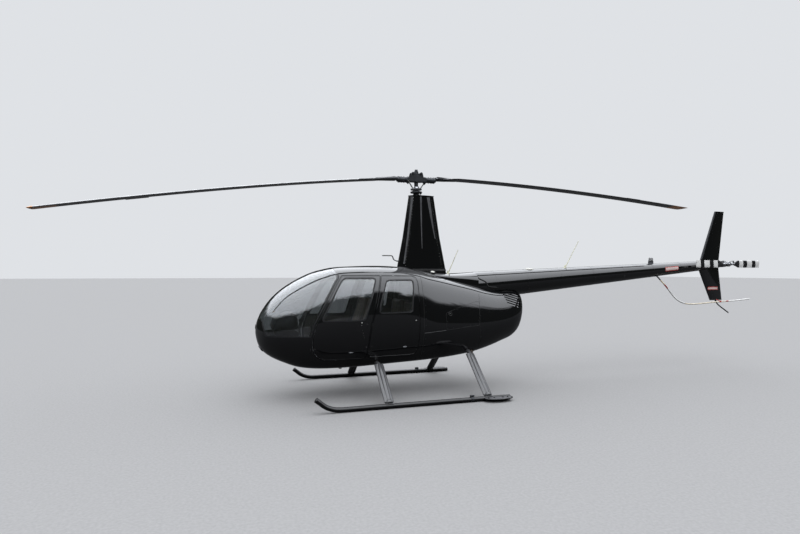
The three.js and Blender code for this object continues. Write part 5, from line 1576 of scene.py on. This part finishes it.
for place, spec in doors.items():
    bodies = spec["bodies"]
    at, normal = bodySkin.side(*spec["handle"])
    u = levelOn(normal)
    v = np.cross(normal, u)
    turn = [u, v if v[2] > 0 else -v, normal]
    points, faces = lathed([(31, -6), (31, 3), (28.5, 5), (25, 3), (10, 2), (1, 2)], sides=40)
    pair(f"{place}DoorHandleDish", stood((points * [1, 0.46, 1], faces), turn, at), satinBlack, bodies)
    pair(f"{place}DoorHandle", [
        stood(roundBox((-23, -7.5, 3), (21, 7.5, 9), 3), turn, at),
        stood(ball((0, 0, 0), (4, 4, 3), 6, 12), turn, at + u * 26 + normal * 3),
    ], bareMetal, bodies)
    latch = [lathed([(9, -2), (9, 2), (6, 4.5), (1.5, 5)], *bodySkin.side(*spec["latch"]), 24)]
    if spec["latchPins"]:
        latch.append(fastenersAlong(spec["latchPins"], 34, False, 4.5, 2.2))
    pair(f"{place}DoorLatch", latch, steelBright, bodies)
    joint = joints[f"left_{place}_door_swing"]
    start, run = np.array(joint["pos_m"]) / mm - mastShift, np.array(joint.get("axis", zAxis), float)
    leaves, knuckles = [], []
    for z in spec["hinges"]:
        axisX = (start + run * ((z - start[2]) / run[2]))[0]
        for shift, group in ((spec["leafShift"], leaves), (14, knuckles)):
            at, normal = bodySkin.side(axisX + shift + 10, z)
            turn = np.array([levelOn(normal), np.cross(normal, levelOn(normal)), normal])
            screwsAt = [at + turn[1] * b + normal * 1.8 for b in (-15, 0, 15)]
            group.append(merge([stood(roundBox((-10, -24, -1.5), (10, 24, 2), 1.2), turn, at),
                                scattered(rivetHead(3.2, 1.2), screwsAt, [normal] * 3)]))
        at, normal = bodySkin.side(axisX, z)
        pin = at - normal * 4
        knuckles.append(rod(pin - [0, 0, 26], pin + [0, 0, 26], 4.5, 14))
    pair(f"{place}HingeLeaf", leaves, blackPaint, bodies)
    pair(f"{place}HingeKnuckle", knuckles, blackPaint)

# Door cards with an armrest and pull
cardSolids = [bodySolid(bodyShape["wall"] + depth) for depth in (0.4, 4.4)]
for place, spec in doors.items():
    top = min(z for x, z in spec["window"]) - 26
    card = meshObject(f"{place}DoorCard_left", prism(offsetOutline(spec["cut"], -34), 200, far))
    carve(card, "INTERSECT", block(0, 2000, spec["cardFoot"], top), cardSolids[0])
    carve(card, "DIFFERENCE", cardSolids[1])
    finished(card, doorTrim, spec["bodies"][0], angle=30)
    finished(mirroredObject(card, f"{place}DoorCard_right"), doorTrim, spec["bodies"][1], angle=30)
    row = [innerSkin.side(x, 905) for x in np.linspace(spec["armrest"] - 130, spec["armrest"] + 130, 14)]
    rest = [p - n * (6 + 24 * abs(math.sin(math.pi * k / 13)) ** 0.5) for k, (p, n) in enumerate(row)]
    pull = [p - n * (3 + 26 * abs(math.sin(math.pi * k / 7)) ** 0.6) + [0, 0, 90] for k, (p, n) in enumerate(row[3:-3])]
    pair(f"{place}DoorArmrest", tube(rest, 12, 14), pipingLeather, spec["bodies"])
    pair(f"{place}DoorPull", tube(pull, 5, 10), darkMetal, spec["bodies"])
print("door trims ready")

# Nose: lamps, fresh-air inlet, and the compass under the glass
nose = {"lamp": (48, 680, 36), "inlet": (985, 27)}
for name, sign in (("left", 1), ("right", -1)):
    y, z, r = nose["lamp"]
    at, normal = bodySkin.hit((3000, y * sign, z), minusX)
    piece(f"landingLampRim_{name}", [
        lathed([(r + 5, -6), (r + 6, 4), (r + 3, 7), (r - 1, 6), (r - 2, -4)], at, normal, 40),
        *[bolt(at + normal * 6 + p, normal, 2.6) for p in circle(r + 2, normal, (0.8, 2.9, 5.0))],
    ], darkMetal)
    bowl = lathed([(r - 2, 3), (r * 0.8, -9), (r * 0.45, -17), (6, -20), (1, -20)], at, normal, 40)
    piece(f"landingLampBowl_{name}", bowl, bareMetal, checked=False)
    lampGlass = lathed([(r - 1, 2), (r - 1, 5), (r * 0.7, 8.5), (r * 0.3, 10), (0.5, 10.3)], at, normal, 40)
    piece(f"landingLampLens_{name}", lampGlass, lens)
z, r = nose["inlet"]
at, normal = bodySkin.hit((3000, 0, z), minusX)
u, v, _ = axes(normal)
piece("noseInletRim", lathed([(r + 7, -2), (r + 5, 3), (r, 5), (r - 3, 1), (r - 3, -8)], at, normal, 40), blackPaint)
piece("noseInletScreen", [
    lathed([(r - 3, -6), (r - 3, -5), (1, -5)], at, normal, 40),
    *[rod(at + u * a - v * w - normal * 3, at + u * a + v * w - normal * 3, 0.9, 6)
      for a, w in ((-16, 16), (-8, 21), (0, 23), (8, 21), (16, 16))],
], rubber)
compassAt = innerSkin.hit((1650, 0, 1080), (math.cos(1.15), 0, math.sin(1.15)))[0] + [-26, 0, -34]
piece("compassBody", [
    ball(compassAt, (27, 24, 24), 14, 24), rod(compassAt + [8, 0, 16], compassAt + [24, 0, 38], 7),
    roundBox(compassAt + [-14, -22, -34], compassAt + [14, 22, -20], 4),
], rubber)
piece("compassWindow", lathed([(17, 0), (15, 5), (8, 9), (1, 10)], compassAt + [-20, 0, 0], minusX, 24), dialBlack)

# Belly: inspection covers, drain tubes, and two short blade antennas, with rows of (drop, share, lean)
belly = {
    "covers": [(430, 95), (-260, 110), (-1080, 80)], "drains": [(60, 120), (-420, -60), (-420, 60)],
    "blades": [(1180, 0), (330, -160)],
    "bladeRows": ((-8, 1.0, 0), (20, 0.9, 6), (52, 0.62, 20), (60, 0.5, 25), (63, 0.2, 27)),
}
for number, (x, r) in enumerate(belly["covers"]):
    at, normal = bodySkin.hit((x, 0, 0), zAxis)
    screwRing = circle(r - 9, normal, np.linspace(0, fullTurn, 13)[:-1])
    screwsAt = [bodySkin.near(at + normal * 0.8 + p)[:2] for p in screwRing]
    rim = [bodySkin.near(at + p)[0] for p in circle(r, normal, np.linspace(0, fullTurn, 41))]
    piece(f"bellyCover_{number}", tube(rim, 1.6, 8), sealBlack)
    piece(f"bellyCoverScrews_{number}", scattered(rivetHead(4.4, 1.6), *zip(*screwsAt)), steelBright)
for number, (x, y) in enumerate(belly["drains"]):
    at = bodySkin.hit((x, y, 0), zAxis)[0]
    piece(f"bellyDrain_{number}", [
        tube([at + [0, 0, 12], at - [0, 0, 26]], [6, 5], 14), lathed([(12, 0), (12, 3), (7, 6)], at, minusZ, 20),
    ], bareMetal)
for number, (x, y) in enumerate(belly["blades"]):
    at = bodySkin.hit((x, y, 0), zAxis)[0]
    oval = [np.array([38 * math.cos(a), 6 * math.sin(a), 0]) for a in np.linspace(0, fullTurn, 25)[:-1]]
    fin = loft([[at + p * share + [-lean, 0, -h] for p in oval] for h, share, lean in belly["bladeRows"]])
    points, faces = lathed([(1, -4), (1, 2), (0.9, 3.5), (0.2, 3.5)], axis=minusZ)
    piece(f"bellyBladeAntenna_{number}", [fin, (points * [48, 14, 1] + at, faces)], whitePaint)

# Blank plates on the tail cone and the lower fin, red with a pale middle
plates = {"t": (0.8145, 0.8809), "turn": (-19, 22), "x": (-5643, -5885), "z": (1403, 1462)}


def conePatch(shrinkT, shrinkTurn, lift):
    t0, t1, (a0, a1) = plates["t"][0] + shrinkT, plates["t"][1] - shrinkT, plates["turn"]
    turns = np.radians(np.linspace(a0 + shrinkTurn, a1 - shrinkTurn, 14))
    return loft([[*[coneAt(t, a, lift) for a in turns], *[coneAt(t, a, -0.8) for a in turns[::-1]]]
                 for t in (t0, (t0 + t1) / 2, t1)])


def finPatch(shrinkX, shrinkZ, lift):
    (x0, x1), (z0, z1), rings = plates["x"], plates["z"], []
    z0, z1 = z0 + shrinkZ, z1 - shrinkZ
    for x in np.linspace(x0 - shrinkX, x1 + shrinkX, 14):
        row = [fins["lower"]["skin"].hit((x, 300, z), minusY) for z in (z0, (z0 + z1) / 2, z1)]
        rings.append([*[p + n * lift for p, n in row], *[p - n * 0.8 for p, n in row[::-1]]])
    return loft(rings)


pair("conePlateBorder", conePatch(0, 0, 0.8), plateRed)
pair("conePlateFace", conePatch(0.002, 7, 1.3), platePale)
pair("finPlateBorder", finPatch(0, 0, 0.8), plateRed)
pair("finPlateFace", finPatch(8, 12, 1.3), platePale)

# Leading-edge cap of the upper fin, and satin grey ribbons on the mast fairing that are a painted reflection of the sky
upper, edgeRows = fins["upper"], []
for z in (1960, 2830):
    t = (z - upper["low"][2]) / (upper["high"][2] - upper["low"][2])
    lead, trail, _ = (between(ends, t) for ends in zip(upper["low"], upper["high"]))
    edgeRows.append(((lead + 1.4, trail - 1.4, z), between(upper["thick"], t) + 2.8))
(lowEdge, lowThick), (highEdge, highThick) = edgeRows
edgeCap = meshObject("finEdgeCap", finSolid(lowEdge, highEdge, (lowThick, highThick)))
carve(edgeCap, "INTERSECT", prism([(lowEdge[0] + 12, 1960), (lowEdge[0] - 34, 1960), (highEdge[0] - 26, 2830),
                                   (highEdge[0] + 12, 2830)], -60, 60))
finished(edgeCap, satinBlack)
paintedReflectionStreaks = [  # painted reflection streaks of the sky on the black mast fairing: share of the chord at the top and foot, heights, half widths
    {"along": (0.1, 0.1), "z": (2855, 1850), "half": (13, 10)},
    {"along": (0.43, 0.475), "z": (2855, 2080), "half": (14, 4)},
    {"along": (0.75, 0.86), "z": (2850, 2230), "half": (26, 7)},
]
streakRibbons = []
for rib in paintedReflectionStreaks:
    rows = [], []
    for t in np.linspace(0, 1, 30):
        z, share, half = (between(rib[key], t) for key in ("z", "along", "half"))
        front, rear, _ = mastAt(z)
        for row, dx in zip(rows, (half, -half)):
            row.append(mastSkin.hit((front + (rear - front) * share + dx, 400, z), minusY))
    streakRibbons.append(ribbon(*rows, 1.4, 1.0))
pair("mastStrip", streakRibbons, paintedSheenGrey)
print("outer trims ready")

# Stage, light and camera
camera = {
    "place": (3.5565, 7.6866, 1.7539), "yaw": -1.8855, "pitch": 0.0062, "roll": 0.001, "lens": 24.4125, "sensor": 36.0,
    "clipEnd": 400,
}
sky = {
    "backdrop": (0.74, 0.76, 0.79, 1), "band": (0.035, 0.038, 0.034, 1), "zenith": (2.4, 2.48, 2.62, 1),
    "haze": (1.6, 1.65, 1.75, 1), "bandTop": 0.335, "bandSoft": 0.03, "ragged": 0.05,
    "humps": [(-0.29, 0.09, 0.07), (-0.8, 0.35, 0.06)],
}
floor = {"reflected": (0.03, 0.03, 0.03, 1), "seen": (0.28, 0.276, 0.272, 1), "size": 120000, "z": -3}


def addCamera(spec):
    data = bpy.data.cameras.new("photoCamera")
    data.lens, data.sensor_width, data.clip_end = spec["lens"], spec["sensor"], spec["clipEnd"]
    yaw, pitch, roll = spec["yaw"], spec["pitch"], spec["roll"]
    ahead = Vector((math.cos(yaw) * math.cos(pitch), math.sin(yaw) * math.cos(pitch), math.sin(pitch)))
    right = ahead.cross(Vector(zAxis)).normalized()
    up = right.cross(ahead)
    turned, level = right * math.cos(roll) + up * math.sin(roll), up * math.cos(roll) - right * math.sin(roll)
    obj = bpy.data.objects.new("photoCamera", data)
    scene.collection.objects.link(obj)
    obj.matrix_world = Matrix.Translation(spec["place"]) @ Matrix((turned, level, -ahead)).transposed().to_4x4()
    scene.camera = obj
    scene.view_settings.view_transform = "Standard"


def addSky(spec):  # a dark band low on the dome, ragged on top, under a bright sky
    world = bpy.data.worlds.new("softStudio")
    world.use_nodes = True
    scene.world = world
    where = node(world, "TexCoord", out="Generated")
    height = node(world, "SeparateXYZ", {"Vector": where}, out="Z")
    ahead = node(world, "SeparateXYZ", {"Vector": where}, out="X")
    hump = 0.0
    for place, width, rise in spec["humps"]:
        offset = math2(world, "ABSOLUTE", math2(world, "SUBTRACT", ahead, place))
        hump = math2(world, "ADD", hump, ranged(world, offset, rise, 0, width * 0.35, width))
    spikes = node(world, "TexNoise", {"Vector": where, "Scale": 22.0, "Detail": 4.0, "Roughness": 0.7})
    ragged = ranged(world, spikes, -spec["ragged"], spec["ragged"], 0.25, 0.75)
    level = math2(world, "SUBTRACT", height, math2(world, "ADD", hump, ragged))
    bandTop, bandSoft = spec["bandTop"], spec["bandSoft"]
    upper = mixed(world, ranged(world, height, 0, 1, bandTop, 0.9), spec["haze"], spec["zenith"])
    dome = mixed(world, ranged(world, level, 0, 1, bandTop - bandSoft, bandTop + bandSoft), spec["band"], upper)
    seen = node(world, "LightPath", out="Is Camera Ray")
    background = world.node_tree.nodes["Background"]
    feed(world, background.inputs["Color"], mixed(world, seen, dome, spec["backdrop"]))


def addFloor(spec):
    mat, shader = newMaterial("paleFloor", "", Roughness=0.9, Specular_IOR_Level=0.2)
    seen = node(mat, "LightPath", out="Is Camera Ray")
    mottle = ranged(mat, grain(mat, 40, 6), 0.93, 1.06, 0.3, 0.7)
    feed(mat, shader.inputs["Base Color"],
         vector2(mat, "MULTIPLY", mixed(mat, seen, spec["reflected"], spec["seen"]), mottle))
    size, z = spec["size"], spec["z"]
    corners = np.array([(-size, -size, z), (size, -size, z), (size, size, z), (-size, size, z)], float)
    obj = meshObject("floor", (corners, [(0, 1, 2, 3)]), False)
    obj.data.materials.append(mat)


addCamera(camera)
addSky(sky)
addFloor(floor)
for leftover in (shell, glassShell):
    bpy.data.objects.remove(leftover)
print("stage ready")
